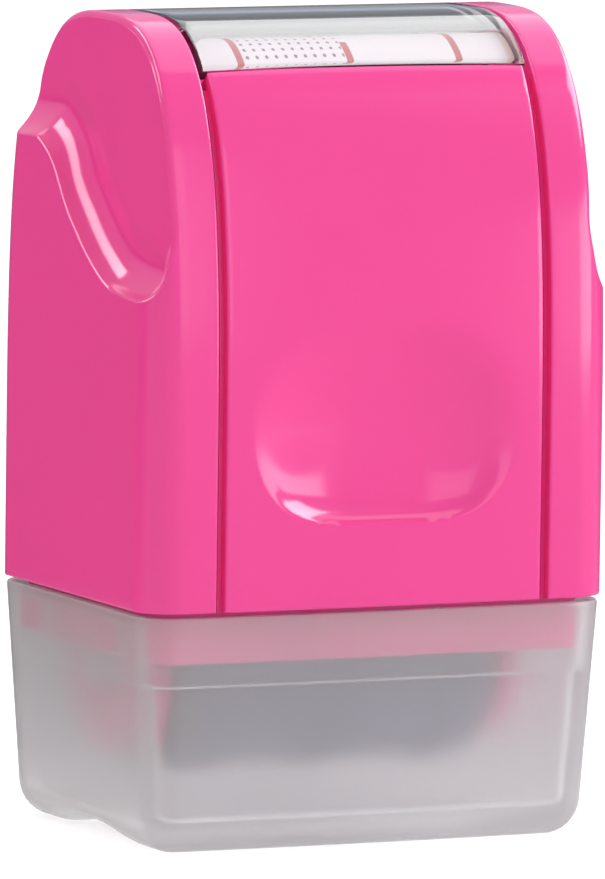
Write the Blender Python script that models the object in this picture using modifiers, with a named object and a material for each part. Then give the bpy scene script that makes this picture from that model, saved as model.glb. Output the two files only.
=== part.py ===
"""Roller stamp that prints handwriting lines, modelled as an assembly of separate pieces.

Metres, +Z up. X is the roller's axis, the front faces -Y, and the origin lies on the ground
under the middle of the stamp. The stamp is shown closed, standing on its cap.
"""
import math

import bmesh
import bpy

# Housing as a whole
BODY_WIDTH = 0.0496
BODY_DEPTH = 0.0386
BODY_HEIGHT = 0.0564
BASE_ABOVE_AXLE = 0.0066
ARCH_RISE = 0.0431
ARCH_FULLNESS = 3.2
CORNER_RADIUS = 0.0040
FACE_CROWN = 0.0006
WALL = 0.0020

# Clearances
SEAT_GAP = 0.0003
OVERRUN = 0.0010
WELD_DISTANCE = 0.000001

# Joint lines between the centre shell and the side covers
CHEEK_WIDTH = 0.0076
GROOVE_WIDTH = 0.0009
GROOVE_DEPTH = 0.0009

# Thumb dimple on the front and on the rear
DIMPLE_SIDE_MARGIN = 0.0040
DIMPLE_HEIGHT = 0.0196
DIMPLE_DEPTH = 0.0016
DIMPLE_ROUND = 0.0060
DIMPLE_HEIGHT_ABOVE_BASE = 0.0178
DIMPLE_TILT = math.radians(-7)

# Finger scoop and set-back upper face of the side covers
LIP_TOP_DROP = 0.0128
LIP_LOW_DROP = 0.0263
INSET_DEPTH = 0.0024
INSET_LEAN = math.radians(1.3)
LIP_FILLET = 0.0012
SCOOP_LENGTH = 0.0230
SCOOP_BREADTH = 0.0100
SCOOP_SINK = 0.0009
SCOOP_ANGLE = math.radians(43)
SCOOP_LIFT = 0.0094
SCOOP_BACK = 0.0008
COVER_WALL = 0.0028
HOLLOW_STEP_DROP = 0.0037
# Lip of the scoop from the rear edge to the front edge: shares of half the depth, and of the
# height from the lip's lowest to its highest point
lip_shares = (
    (1.30, 0.97), (0.47, 1.00), (0.37, 0.95), (0.28, 0.87), (0.17, 0.71), (-0.02, 0.45),
    (-0.20, 0.23), (-0.33, 0.12), (-0.47, 0.05), (-0.62, 0.01), (-0.76, 0.00), (-0.90, 0.02),
    (-1.00, 0.07), (-1.10, 0.17), (-1.30, 0.40),
)

# Window, label card and the bed under them
WINDOW_LENGTH = 0.0264
LENS_THICKNESS = 0.0012
CARD_THICKNESS = 0.0003
CARD_MARGIN = 0.0010
BED_THICKNESS = 0.0015
BED_MARGIN = 0.0018

# Screw posts in the side covers and the screws
POST_FROM_FACE = 0.0077
POST_RADIUS = 0.0025
POST_HEIGHT = 0.0120
RIB_THICKNESS = 0.0014
SCREW_RADIUS = 0.0011
SCREW_LENGTH = 0.0090
SCREW_HEAD_RADIUS = 0.0017
SCREW_HEAD_HEIGHT = 0.0013
SCREW_HEAD_GAP = 0.0001
SCREW_SLOT_WIDTH = 0.0005
SCREW_SLOT_DEPTH = 0.0005

# Roller frame
SKIRT_GAP = 0.0004
SKIRT_WALL = 0.0013
SKIRT_DROP = 0.0051
BRIDGE_CLEARANCE = 0.0017
BRIDGE_THICKNESS = 0.0018
BRACKET_FROM_SKIRT = 0.0018
BRACKET_THICKNESS = 0.0018
BRACKET_FROM_SCREW = 0.0014
GUSSET_THICKNESS = 0.0012
GUSSET_FROM_POST = 0.0054
GUSSET_DROP = 0.0070

# Roller, from the axle outwards
AXLE_RADIUS = 0.0015
AXLE_TIP = 0.0005
AXLE_CHAMFER = 0.0003
CLIP_GROOVE_DEPTH = 0.0004
CLIP_BREADTH = 0.0016
CLIP_THICKNESS = 0.0006
CLIP_MOUTH = 0.0020
BUSH_WALL = 0.0012
BUSH_LENGTH = 0.0034
BUSH_FLANGE_BREADTH = 0.0014
BUSH_FLANGE_THICKNESS = 0.0006
CORE_NECK_CLEARANCE = 0.0008
FELT_THICKNESS = 0.0028
FELT_MARGIN = 0.0006
SLEEVE_RADIUS = 0.0106
SLEEVE_THICKNESS = 0.0016
ROLLER_END_CLEARANCE = 0.0012
LINE_RELIEF = 0.0006
LINE_WIDTH = 0.0010
LINE_END_MARGIN = 0.0033
LINE_DRAFT = 0.0002
DASH_COUNT = 12
DASH_GAP_WIDTH = 0.0022
FLANGE_THICKNESS = 0.0010
FLANGE_SETBACK = 0.0004
FLANGE_EDGE = 0.0003

# Cap
CAP_RIM_GAP = 0.0005
CAP_STEP_IN = 0.0002
CAP_RIM_WALL = 0.0013
CAP_WALL = 0.0022
CAP_LEDGE_DROP = 0.0068
CAP_DRAFT = math.radians(3.4)
CAP_EDGE_MARGIN = 0.0006
CAP_INNER_EDGE_MARGIN = 0.0004
CAP_FLOOR = 0.0030
CAP_ROLLER_CLEARANCE = 0.0028
ARCH_UNDER_RISE = 0.0012
FOOT_LENGTH = 0.0088
PAD_FROM_FACE = 0.0103
PAD_LENGTH = 0.0050
PAD_HEIGHT = 0.0024
PAD_DROP = 0.0014
PAD_RISE = 0.0004

# Smoothness of the curved forms
ARCH_STEPS = 26
INNER_ARCH_STEPS = 14
CORNER_STEPS = 5
INNER_CORNER_STEPS = 3
CROWN_STEPS = 6
ROUND_STEPS = 44
SMALL_STEPS = 20
BALL_STEPS = 32
EDGE_STEPS = 3
SHARP_ANGLE = math.radians(28)

# Heights, from the cap's floor upwards
ROLLER_RADIUS = SLEEVE_RADIUS + LINE_RELIEF
AXLE_HEIGHT = CAP_FLOOR + CAP_ROLLER_CLEARANCE + ROLLER_RADIUS
BODY_BASE = AXLE_HEIGHT + BASE_ABOVE_AXLE
TOP_HEIGHT = BODY_BASE + BODY_HEIGHT
ARCH_START = TOP_HEIGHT - ARCH_RISE
LIP_TOP = TOP_HEIGHT - LIP_TOP_DROP
LIP_LOW = TOP_HEIGHT - LIP_LOW_DROP
SKIRT_BASE = BODY_BASE - SKIRT_DROP
BRIDGE_HEIGHT = AXLE_HEIGHT + ROLLER_RADIUS + BRIDGE_CLEARANCE
BRIDGE_TOP = BRIDGE_HEIGHT + BRIDGE_THICKNESS
CAP_RIM = BODY_BASE - CAP_RIM_GAP
CAP_LEDGE = CAP_RIM - CAP_LEDGE_DROP

# Places across the stamp, from its sides inwards
HALF_WIDTH = BODY_WIDTH / 2
INSET_HALF_WIDTH = HALF_WIDTH - INSET_DEPTH
JOINT_X = HALF_WIDTH - CHEEK_WIDTH
SKIRT_INSET = WALL + SKIRT_GAP
SKIRT_INNER_X = HALF_WIDTH - SKIRT_INSET - SKIRT_WALL
POST_SPREAD_X = SKIRT_INNER_X - SCREW_HEAD_RADIUS - SCREW_HEAD_GAP
BRACKET_OUTER = SKIRT_INNER_X - BRACKET_FROM_SKIRT
BRACKET_HALF_SPAN = BRACKET_OUTER - BRACKET_THICKNESS
CLIP_INNER_X = BRACKET_OUTER + SEAT_GAP
CLIP_OUTER_X = CLIP_INNER_X + CLIP_THICKNESS
AXLE_END = CLIP_OUTER_X + SEAT_GAP / 2 + AXLE_TIP
BUSH_FLANGE_X = BRACKET_HALF_SPAN - SEAT_GAP
BUSH_SHOULDER_X = BUSH_FLANGE_X - BUSH_FLANGE_THICKNESS
BUSH_INNER_X = BUSH_SHOULDER_X - BUSH_LENGTH
CORE_END = BUSH_SHOULDER_X - SEAT_GAP
CORE_NECK_X = BUSH_INNER_X - SEAT_GAP
FLANGE_OUTER_X = BRACKET_HALF_SPAN - ROLLER_END_CLEARANCE
FLANGE_INNER_X = FLANGE_OUTER_X - FLANGE_THICKNESS
SLEEVE_HALF_LENGTH = FLANGE_INNER_X - SEAT_GAP
FELT_HALF_LENGTH = SLEEVE_HALF_LENGTH - FELT_MARGIN
LINE_SPACING = SLEEVE_HALF_LENGTH - LINE_END_MARGIN

# Places from the middle to the front and to the rear
HALF_DEPTH = BODY_DEPTH / 2
POST_SPREAD_Y = HALF_DEPTH - POST_FROM_FACE
BRACKET_RADIUS = POST_SPREAD_Y - SCREW_HEAD_RADIUS - BRACKET_FROM_SCREW
GUSSET_SPREAD = POST_SPREAD_Y - GUSSET_FROM_POST
PAD_SPREAD = HALF_DEPTH - PAD_FROM_FACE
ARCH_UNDER_HALF_SPAN = HALF_DEPTH - FOOT_LENGTH

# Depths below the arch's surface within the window
CARD_SINK = LENS_THICKNESS + SEAT_GAP
LENS_RIM = CARD_SINK + CARD_THICKNESS
BED_SINK = LENS_RIM + SEAT_GAP

# Radii around the roller's axis
AXLE_BORE = AXLE_RADIUS + SEAT_GAP
CLIP_GROOVE_RADIUS = AXLE_RADIUS - CLIP_GROOVE_DEPTH
CLIP_RADIUS = AXLE_RADIUS + CLIP_BREADTH
BUSH_RADIUS = AXLE_BORE + BUSH_WALL
BUSH_FLANGE_RADIUS = BUSH_RADIUS + BUSH_FLANGE_BREADTH
CORE_BORE = BUSH_RADIUS + SEAT_GAP
CORE_NECK_RADIUS = AXLE_BORE + CORE_NECK_CLEARANCE
SLEEVE_BORE = SLEEVE_RADIUS - SLEEVE_THICKNESS
FELT_RADIUS = SLEEVE_BORE - SEAT_GAP
FELT_BORE = FELT_RADIUS - FELT_THICKNESS
CORE_RADIUS = FELT_BORE - SEAT_GAP
FLANGE_RADIUS = SLEEVE_RADIUS - FLANGE_SETBACK

# Widths and rounding that follow their neighbours
DIMPLE_WIDTH = 2 * (JOINT_X - DIMPLE_SIDE_MARGIN)
CARD_WIDTH = 2 * (JOINT_X - CARD_MARGIN)
CARD_LENGTH = WINDOW_LENGTH - 2 * CARD_MARGIN
CAP_EDGE_RADIUS = CORNER_RADIUS - CAP_EDGE_MARGIN
CAP_INNER_EDGE_RADIUS = CORNER_RADIUS - CAP_STEP_IN - CAP_WALL - CAP_INNER_EDGE_MARGIN
DRAFT_SLOPE = math.tan(CAP_DRAFT)

PINK = (0.900, 0.070, 0.300)
CLEAR = (0.860, 0.870, 0.890)
FROST = (0.760, 0.740, 0.760)
PAPER = (0.880, 0.860, 0.880)
STEEL = (0.620, 0.630, 0.650)
NYLON = (0.850, 0.840, 0.800)
DARK_PLASTIC = (0.060, 0.065, 0.080)
FELT = (0.120, 0.100, 0.200)
PRINT_RUBBER = (0.110, 0.110, 0.190)

for old in list(bpy.data.objects):
    bpy.data.objects.remove(old, do_unlink=True)
parts = bpy.data.collections.new("handwriting_line_roller_stamp")
tools = bpy.data.collections.new("cutters")
for group in (parts, tools):
    bpy.context.scene.collection.children.link(group)


# Helpers

def material(name, colour, roughness, metallic=0.0, alpha=1.0):
    """A plain Principled material."""
    made = bpy.data.materials.new(name)
    made.use_nodes = True
    shader = made.node_tree.nodes["Principled BSDF"]
    shader.inputs["Base Color"].default_value = (*colour, 1.0)
    shader.inputs["Roughness"].default_value = roughness
    shader.inputs["Metallic"].default_value = metallic
    shader.inputs["Alpha"].default_value = alpha
    made.diffuse_color = (*colour, alpha)
    return made


def wrap(name, mesh):
    """A tool object around a mesh, hidden from renders until it becomes a piece."""
    made = bpy.data.objects.new(name, mesh)
    tools.objects.link(made)
    made.hide_render = True
    made.display_type = "WIRE"
    return made


def evaluated_mesh(source):
    """The mesh that an object has after its modifiers, in world space and welded."""
    bpy.context.view_layer.update()
    seen = source.evaluated_get(bpy.context.evaluated_depsgraph_get())
    mesh = bpy.data.meshes.new_from_object(seen)
    mesh.transform(source.matrix_world)
    work = bmesh.new()
    work.from_mesh(mesh)
    bmesh.ops.remove_doubles(work, verts=work.verts, dist=WELD_DISTANCE)
    work.to_mesh(mesh)
    work.free()
    return mesh


def settle(source):
    """Replaces an object by its evaluated mesh, at the world's origin."""
    name = source.name
    mesh = evaluated_mesh(source)
    bpy.data.objects.remove(source, do_unlink=True)
    return wrap(name, mesh)


def combine(target, tool, operation):
    """One exact Boolean, after which the tool is gone."""
    step = target.modifiers.new(operation.title(), "BOOLEAN")
    step.operation = operation
    step.solver = "EXACT"
    step.object = tool
    made = settle(target)
    bpy.data.objects.remove(tool, do_unlink=True)
    return made


def cut(target, *cutters):
    for tool in cutters:
        target = combine(target, tool, "DIFFERENCE")
    return target


def join(target, *additions):
    for tool in additions:
        target = combine(target, tool, "UNION")
    return target


def keep(target, tool):
    return combine(target, tool, "INTERSECT")


def block(x_range, y_range, z_range):
    """A box between two values on each axis."""
    work = bmesh.new()
    bmesh.ops.create_cube(work, size=1.0)
    ranges = (x_range, y_range, z_range)
    for vert in work.verts:
        for axis, (low, high) in enumerate(ranges):
            vert.co[axis] = low + (high - low) * (vert.co[axis] + 0.5)
    mesh = bpy.data.meshes.new("block")
    work.to_mesh(mesh)
    work.free()
    return wrap("block", mesh)


def slab(points, low, high, axis, edge=0.0):
    """A flat outline, extruded along an axis between two places, with rounded edges if asked.

    Points are (x, y) for a slab along Z, and (y, z) for a slab along X.
    """
    curve = bpy.data.curves.new("outline", "CURVE")
    curve.dimensions = "2D"
    curve.fill_mode = "BOTH"
    curve.extrude = (high - low) / 2 - edge
    curve.bevel_depth = edge
    curve.offset = -edge
    curve.bevel_resolution = EDGE_STEPS
    spline = curve.splines.new("POLY")
    spline.points.add(len(points) - 1)
    for point, (u, v) in zip(spline.points, points):
        point.co = (u, v, 0.0, 1.0)
    spline.use_cyclic_u = True
    outline = wrap("slab", curve)
    if axis == "X":
        outline.rotation_euler = (math.radians(90), 0.0, math.radians(90))
        outline.location.x = (low + high) / 2
    else:
        outline.location.z = (low + high) / 2
    return settle(outline)


def turned(profile, steps=ROUND_STEPS):
    """A closed profile of (x, radius) points turned about the roller's axis.

    The Screw faces outwards when the profile's outer side runs towards -X.
    """
    ends = profile[1:] + profile[:1]
    area = sum(x * next_r - next_x * r for (x, r), (next_x, next_r) in zip(profile, ends))
    if area < 0:
        profile = profile[::-1]
    work = bmesh.new()
    verts = [work.verts.new((x, 0.0, radius)) for x, radius in profile]
    for first, second in zip(verts, verts[1:] + verts[:1]):
        work.edges.new((first, second))
    mesh = bpy.data.meshes.new("profile")
    work.to_mesh(mesh)
    work.free()
    ring = wrap("turned", mesh)
    screw = ring.modifiers.new("Screw", "SCREW")
    screw.axis = "X"
    screw.steps = steps
    screw.render_steps = steps
    screw.use_merge_vertices = True
    screw.merge_threshold = WELD_DISTANCE
    ring.location.z = AXLE_HEIGHT
    return settle(ring)


def post(x, y, low, high, radius, steps=SMALL_STEPS):
    """An upright cylinder."""
    work = bmesh.new()
    bmesh.ops.create_cone(
        work, cap_ends=True, segments=steps, radius1=radius, radius2=radius, depth=high - low
    )
    mesh = bpy.data.meshes.new("post")
    work.to_mesh(mesh)
    work.free()
    made = wrap("post", mesh)
    made.location = (x, y, (low + high) / 2)
    return settle(made)


def ball(centre, radii, tilt, axis):
    """An ellipsoid, tilted about one axis."""
    work = bmesh.new()
    bmesh.ops.create_uvsphere(work, u_segments=BALL_STEPS, v_segments=BALL_STEPS // 2, radius=1.0)
    mesh = bpy.data.meshes.new("ball")
    work.to_mesh(mesh)
    work.free()
    made = wrap("ball", mesh)
    made.scale = radii
    made.rotation_euler[axis] = tilt
    made.location = centre
    return settle(made)


def mirrored(source):
    """The same form on the other side of the middle plane."""
    mesh = evaluated_mesh(source)
    work = bmesh.new()
    work.from_mesh(mesh)
    for vert in work.verts:
        vert.co.x = -vert.co.x
    bmesh.ops.reverse_faces(work, faces=work.faces)
    work.to_mesh(mesh)
    work.free()
    return wrap("mirrored", mesh)


def finish(source, name, look):
    """Names a piece, gives it its material and shades it, and moves it to the parts."""
    made = settle(source)
    made.name = name
    made.data.name = name
    made.data.materials.clear()
    made.data.materials.append(look)
    made.data.shade_smooth()
    made.data.set_sharp_from_angle(angle=SHARP_ANGLE)
    made.hide_render = False
    made.display_type = "TEXTURED"
    tools.objects.unlink(made)
    parts.objects.link(made)
    return made


def set_origin(made, place):
    """Moves a piece's origin to a place without moving the piece."""
    for vert in made.data.vertices:
        for axis in range(3):
            vert.co[axis] -= place[axis]
    made.location = place


# Outlines that the housing, the frame and the cap share

def face_depth(x, inset=0.0):
    """Distance of the housing's front or rear face from the middle at a place across it."""
    half_width = HALF_WIDTH - inset
    radius = max(CORNER_RADIUS - inset, SEAT_GAP)
    crown = FACE_CROWN * (x / HALF_WIDTH) ** 2
    past = min(max(abs(x) - (half_width - radius), 0.0), radius)
    corner = radius - math.sqrt(radius ** 2 - past ** 2)
    return HALF_DEPTH - inset - crown - corner


def across(inset, start, end, corner_steps=CORNER_STEPS):
    """Places across the width: even steps over the crown, arcs at the corners."""
    half_width = HALF_WIDTH - inset
    radius = max(CORNER_RADIUS - inset, SEAT_GAP)
    flat = half_width - radius
    places = [flat * (2 * step / CROWN_STEPS - 1) for step in range(CROWN_STEPS + 1)]
    for step in range(1, corner_steps + 1):
        place = flat + radius * math.sin(math.pi / 2 * step / corner_steps)
        places += [place, -place]
    inner = [place for place in places if start < place < end]
    return sorted(inner + [start, end])


def plan(inset):
    """The housing's plan, drawn in by an inset: corner arcs and crowned faces."""
    half_width = HALF_WIDTH - inset
    front = across(inset, -half_width, half_width)
    near = [(x, -face_depth(x, inset)) for x in front]
    far = [(-x, -y) for x, y in near]
    return near + far


def side_profile(inset, base, arch_steps):
    """The housing seen from the side: upright faces that swell over into the arch.

    The arch is a superellipse, fuller at its shoulders than an ellipse.
    """
    depth = HALF_DEPTH - inset
    rise = ARCH_RISE - inset
    power = 2 / ARCH_FULLNESS
    points = [(-depth, base)]
    for step in range(arch_steps + 1):
        angle = math.pi * step / arch_steps
        forward = math.copysign(abs(math.cos(angle)) ** power, math.cos(angle))
        upward = abs(math.sin(angle)) ** power
        points.append((-depth * forward, ARCH_START + rise * upward))
    points.append((depth, base))
    return points[::-1]


def envelope(inset, start, end, base=BODY_BASE, arch_steps=ARCH_STEPS, corner_steps=CORNER_STEPS):
    """The housing's outer form between two places across it, drawn in by an inset.

    The side profile runs across the housing, and its depth follows the plan.
    """
    depth = HALF_DEPTH - inset
    form = slab(side_profile(inset, base, arch_steps), start, end, "X")
    work = bmesh.new()
    work.from_mesh(form.data)
    for x in across(inset, start, end, corner_steps)[1:-1]:
        everything = work.verts[:] + work.edges[:] + work.faces[:]
        bmesh.ops.bisect_plane(work, geom=everything, plane_co=(x, 0, 0), plane_no=(1, 0, 0))
    for vert in work.verts:
        vert.co.y *= face_depth(vert.co.x, inset) / depth
    bmesh.ops.triangulate(work, faces=work.faces)
    work.to_mesh(form.data)
    work.free()
    return form


def hollow_form(start, end):
    """The space inside the housing's walls between two places across it, open below."""
    return envelope(WALL, start, end, BODY_BASE - OVERRUN, INNER_ARCH_STEPS, INNER_CORNER_STEPS)


def drafted(points, low, high, edge=0.0):
    """An upright slab whose sides lean in towards the cap's foot."""
    form = slab(points, low, high, "Z", edge)
    for vert in form.data.vertices:
        lean = (CAP_RIM - vert.co.z) * DRAFT_SLOPE
        vert.co.x *= 1 - lean / HALF_WIDTH
        vert.co.y *= 1 - lean / HALF_DEPTH
    return form


# Centre shell

def dimple(side, grow):
    """The ellipsoid that sinks the thumb dimple, grown by a wall for the bulge inside."""
    lift = DIMPLE_ROUND - DIMPLE_DEPTH
    spread = math.sqrt(1 - (lift / DIMPLE_ROUND) ** 2)
    radii = (
        DIMPLE_WIDTH / 2 / spread + grow,
        DIMPLE_ROUND + grow,
        DIMPLE_HEIGHT / 2 / spread + grow,
    )
    centre = (0.0, side * (HALF_DEPTH + lift), BODY_BASE + DIMPLE_HEIGHT_ABOVE_BASE)
    return ball(centre, radii, -side * DIMPLE_TILT, 0)


def window_block(half_width, half_length, sink):
    """What lies over the arch's top within the window, down to a depth below the surface."""
    zone = block((-half_width, half_width), (-half_length, half_length),
                 (ARCH_START, TOP_HEIGHT + OVERRUN))
    core = envelope(sink, -half_width - OVERRUN, half_width + OVERRUN)
    return cut(zone, core)


def centre_shell():
    """Band between the grooves, with a stepped edge, two dimples and the window's bed."""
    outer_edge = JOINT_X - GROOVE_WIDTH / 2
    inner_edge = JOINT_X - SEAT_GAP / 2
    shell = envelope(0.0, -outer_edge, outer_edge)
    shell = join(shell, envelope(GROOVE_DEPTH, -inner_edge, inner_edge))
    hollow = hollow_form(-inner_edge - OVERRUN, inner_edge + OVERRUN)
    bed_half_length = WINDOW_LENGTH / 2 + BED_MARGIN
    hollow = cut(hollow, window_block(JOINT_X + OVERRUN, bed_half_length,
                                      BED_SINK + BED_THICKNESS))
    shell = cut(shell, hollow)
    for side in (-1, 1):
        bulge = dimple(side, WALL)
        trim = envelope(WALL / 2, -inner_edge + OVERRUN, inner_edge - OVERRUN)
        shell = join(shell, keep(bulge, trim))
    shell = cut(shell, dimple(-1, 0.0), dimple(1, 0.0))
    recess = window_block(JOINT_X + OVERRUN, WINDOW_LENGTH / 2, BED_SINK)
    return cut(shell, recess)


# Side covers

def lip_outline():
    """The set-back face's border: the scoop's lip, closed above the housing."""
    rise = LIP_TOP - LIP_LOW
    points = [(y * HALF_DEPTH, LIP_LOW + z * rise) for y, z in lip_shares]
    above = TOP_HEIGHT + WALL
    front = points[-1][0]
    rear = points[0][0]
    return points + [(front, above), (rear, above)]


def upper_inset():
    """Cutter that sets the upper face back behind the lip, with a fillet at its root."""
    cutter = slab(lip_outline(), INSET_HALF_WIDTH, HALF_WIDTH + CORNER_RADIUS, "X", LIP_FILLET)
    for vert in cutter.data.vertices:
        vert.co.x -= (vert.co.z - LIP_LOW) * math.tan(INSET_LEAN)
    return cutter


def right_side_cover():
    """Cheek with the finger scoop, hollow inside, with two ribbed screw posts."""
    outer_edge = JOINT_X + GROOVE_WIDTH / 2
    inner_edge = JOINT_X + SEAT_GAP / 2
    cover = envelope(0.0, outer_edge, HALF_WIDTH)
    cover = join(cover, envelope(GROOVE_DEPTH, inner_edge, outer_edge + WALL))
    cover = cut(cover, upper_inset())
    shelf = block((INSET_HALF_WIDTH - COVER_WALL, BODY_WIDTH), (-BODY_DEPTH, BODY_DEPTH),
                  (LIP_LOW - HOLLOW_STEP_DROP, TOP_HEIGHT + OVERRUN))
    cover = cut(cover, cut(hollow_form(inner_edge - OVERRUN, HALF_WIDTH - WALL), shelf))
    scoop = ball(
        (INSET_HALF_WIDTH, SCOOP_BACK, LIP_LOW + SCOOP_LIFT),
        (SCOOP_SINK, SCOOP_BREADTH / 2, SCOOP_LENGTH / 2), -SCOOP_ANGLE, 0,
    )
    cover = cut(cover, scoop)
    bottom = BRIDGE_TOP + SEAT_GAP
    top = bottom + POST_HEIGHT
    for side in (-1, 1):
        y = side * POST_SPREAD_Y
        boss = post(POST_SPREAD_X, y, bottom, top, POST_RADIUS)
        rib = block((POST_SPREAD_X, HALF_WIDTH - WALL / 2),
                    (y - RIB_THICKNESS / 2, y + RIB_THICKNESS / 2), (bottom, top))
        bore = post(POST_SPREAD_X, y, bottom - OVERRUN, bottom + SCREW_LENGTH,
                    SCREW_RADIUS + SEAT_GAP)
        cover = join(cover, join(boss, rib))
        cover = cut(cover, bore)
    return cover


# Window and card

def window_lens():
    """Clear lens flush with the arch, hollowed underneath for the card."""
    half_width = JOINT_X - SEAT_GAP / 2
    half_length = WINDOW_LENGTH / 2 - SEAT_GAP
    lens = envelope(0.0, -half_width, half_width)
    lens = keep(lens, window_block(half_width + OVERRUN, half_length, LENS_RIM))
    pocket_half_width = CARD_WIDTH / 2 + SEAT_GAP
    pocket_half_length = CARD_LENGTH / 2 + SEAT_GAP
    pocket = envelope(LENS_THICKNESS, -pocket_half_width, pocket_half_width)
    zone = block((-half_width, half_width), (-pocket_half_length, pocket_half_length),
                 (ARCH_START, TOP_HEIGHT + OVERRUN))
    return cut(lens, keep(pocket, zone))


def label_card():
    """Thin card that lies in the lens's pocket, bent to the arch."""
    half_width = CARD_WIDTH / 2
    card = envelope(CARD_SINK, -half_width, half_width)
    return keep(card, window_block(half_width + OVERRUN, CARD_LENGTH / 2, LENS_RIM))


# Roller frame and its screws

def bracket_outline():
    """Bracket seen from the side: round under the axle, upright above it."""
    points = []
    for step in range(SMALL_STEPS + 1):
        angle = math.pi + math.pi * step / SMALL_STEPS
        points.append((BRACKET_RADIUS * math.cos(angle),
                       AXLE_HEIGHT + BRACKET_RADIUS * math.sin(angle)))
    top = BRIDGE_HEIGHT + BRIDGE_THICKNESS / 2
    return points + [(BRACKET_RADIUS, top), (-BRACKET_RADIUS, top)]


def roller_frame():
    """Skirt and bridge plate in one, with two brackets and their gussets."""
    frame = slab(plan(SKIRT_INSET), SKIRT_BASE, BRIDGE_TOP, "Z")
    inside = slab(plan(SKIRT_INSET + SKIRT_WALL), SKIRT_BASE - OVERRUN, BRIDGE_HEIGHT, "Z")
    frame = cut(frame, inside)
    wall_x = HALF_WIDTH - SKIRT_INSET - SKIRT_WALL / 2
    for side in (-1, 1):
        near = sorted((side * BRACKET_HALF_SPAN, side * BRACKET_OUTER))
        frame = join(frame, slab(bracket_outline(), near[0], near[1], "X"))
        middle = side * (BRACKET_HALF_SPAN + BRACKET_THICKNESS / 2)
        for y in (-GUSSET_SPREAD, GUSSET_SPREAD):
            web = block(sorted((middle, side * wall_x)),
                        (y - GUSSET_THICKNESS / 2, y + GUSSET_THICKNESS / 2),
                        (BRIDGE_HEIGHT - GUSSET_DROP, BRIDGE_HEIGHT + BRIDGE_THICKNESS / 2))
            frame = join(frame, web)
        for y in (-POST_SPREAD_Y, POST_SPREAD_Y):
            hole = post(side * POST_SPREAD_X, y, BRIDGE_HEIGHT - OVERRUN, BRIDGE_TOP + OVERRUN,
                        SCREW_RADIUS + SEAT_GAP)
            frame = cut(frame, hole)
    reach = BRACKET_OUTER + OVERRUN
    bore = turned([(-reach, 0.0), (-reach, AXLE_BORE), (reach, AXLE_BORE), (reach, 0.0)],
                  SMALL_STEPS)
    return cut(frame, bore)


def frame_screw(x, y):
    """Pan-head screw that points up through the bridge into a post."""
    head_top = BRIDGE_HEIGHT - SEAT_GAP
    head_base = head_top - SCREW_HEAD_HEIGHT
    head = post(x, y, head_base, head_top, SCREW_HEAD_RADIUS)
    shank = post(x, y, head_top - SCREW_HEAD_HEIGHT / 2, head_top + SCREW_LENGTH, SCREW_RADIUS)
    slot = block((x - SCREW_HEAD_RADIUS - OVERRUN, x + SCREW_HEAD_RADIUS + OVERRUN),
                 (y - SCREW_SLOT_WIDTH / 2, y + SCREW_SLOT_WIDTH / 2),
                 (head_base - OVERRUN, head_base + SCREW_SLOT_DEPTH))
    return cut(join(head, shank), slot)


# Axle and clips

def axle():
    """Pin with chamfered ends and a groove for each clip."""
    half = [
        (AXLE_END, 0.0),
        (AXLE_END, AXLE_RADIUS - AXLE_CHAMFER),
        (AXLE_END - AXLE_CHAMFER, AXLE_RADIUS),
        (CLIP_OUTER_X + SEAT_GAP / 2, AXLE_RADIUS),
        (CLIP_OUTER_X + SEAT_GAP / 2, CLIP_GROOVE_RADIUS),
        (CLIP_INNER_X - SEAT_GAP / 2, CLIP_GROOVE_RADIUS),
        (CLIP_INNER_X - SEAT_GAP / 2, AXLE_RADIUS),
    ]
    return turned(half + [(-x, radius) for x, radius in half[::-1]], SMALL_STEPS)


def axle_clip():
    """Open ring that snaps into the axle's groove, on the right side."""
    inner = CLIP_GROOVE_RADIUS + SEAT_GAP / 2
    ring = turned([
        (CLIP_INNER_X, inner), (CLIP_INNER_X, CLIP_RADIUS),
        (CLIP_OUTER_X, CLIP_RADIUS), (CLIP_OUTER_X, inner),
    ], SMALL_STEPS)
    mouth = block((CLIP_INNER_X - OVERRUN, CLIP_OUTER_X + OVERRUN),
                  (-CLIP_MOUTH / 2, CLIP_MOUTH / 2),
                  (AXLE_HEIGHT - CLIP_RADIUS - OVERRUN, AXLE_HEIGHT))
    return cut(ring, mouth)


# Roller

def bush():
    """Flanged bush in the right end of the core."""
    return turned([
        (BUSH_INNER_X, AXLE_BORE), (BUSH_INNER_X, BUSH_RADIUS),
        (BUSH_SHOULDER_X, BUSH_RADIUS), (BUSH_SHOULDER_X, BUSH_FLANGE_RADIUS),
        (BUSH_FLANGE_X, BUSH_FLANGE_RADIUS), (BUSH_FLANGE_X, AXLE_BORE),
    ], SMALL_STEPS)


def roller_core():
    """Tube that carries felt and sleeve, with a counterbore at each end for the bush."""
    half = [
        (CORE_END, CORE_RADIUS), (CORE_END, CORE_BORE),
        (CORE_NECK_X, CORE_BORE), (CORE_NECK_X, CORE_NECK_RADIUS),
    ]
    return turned(half + [(-x, radius) for x, radius in half[::-1]])


def tube(half_length, inner, outer):
    return turned([
        (-half_length, inner), (-half_length, outer), (half_length, outer), (half_length, inner),
    ])


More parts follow.
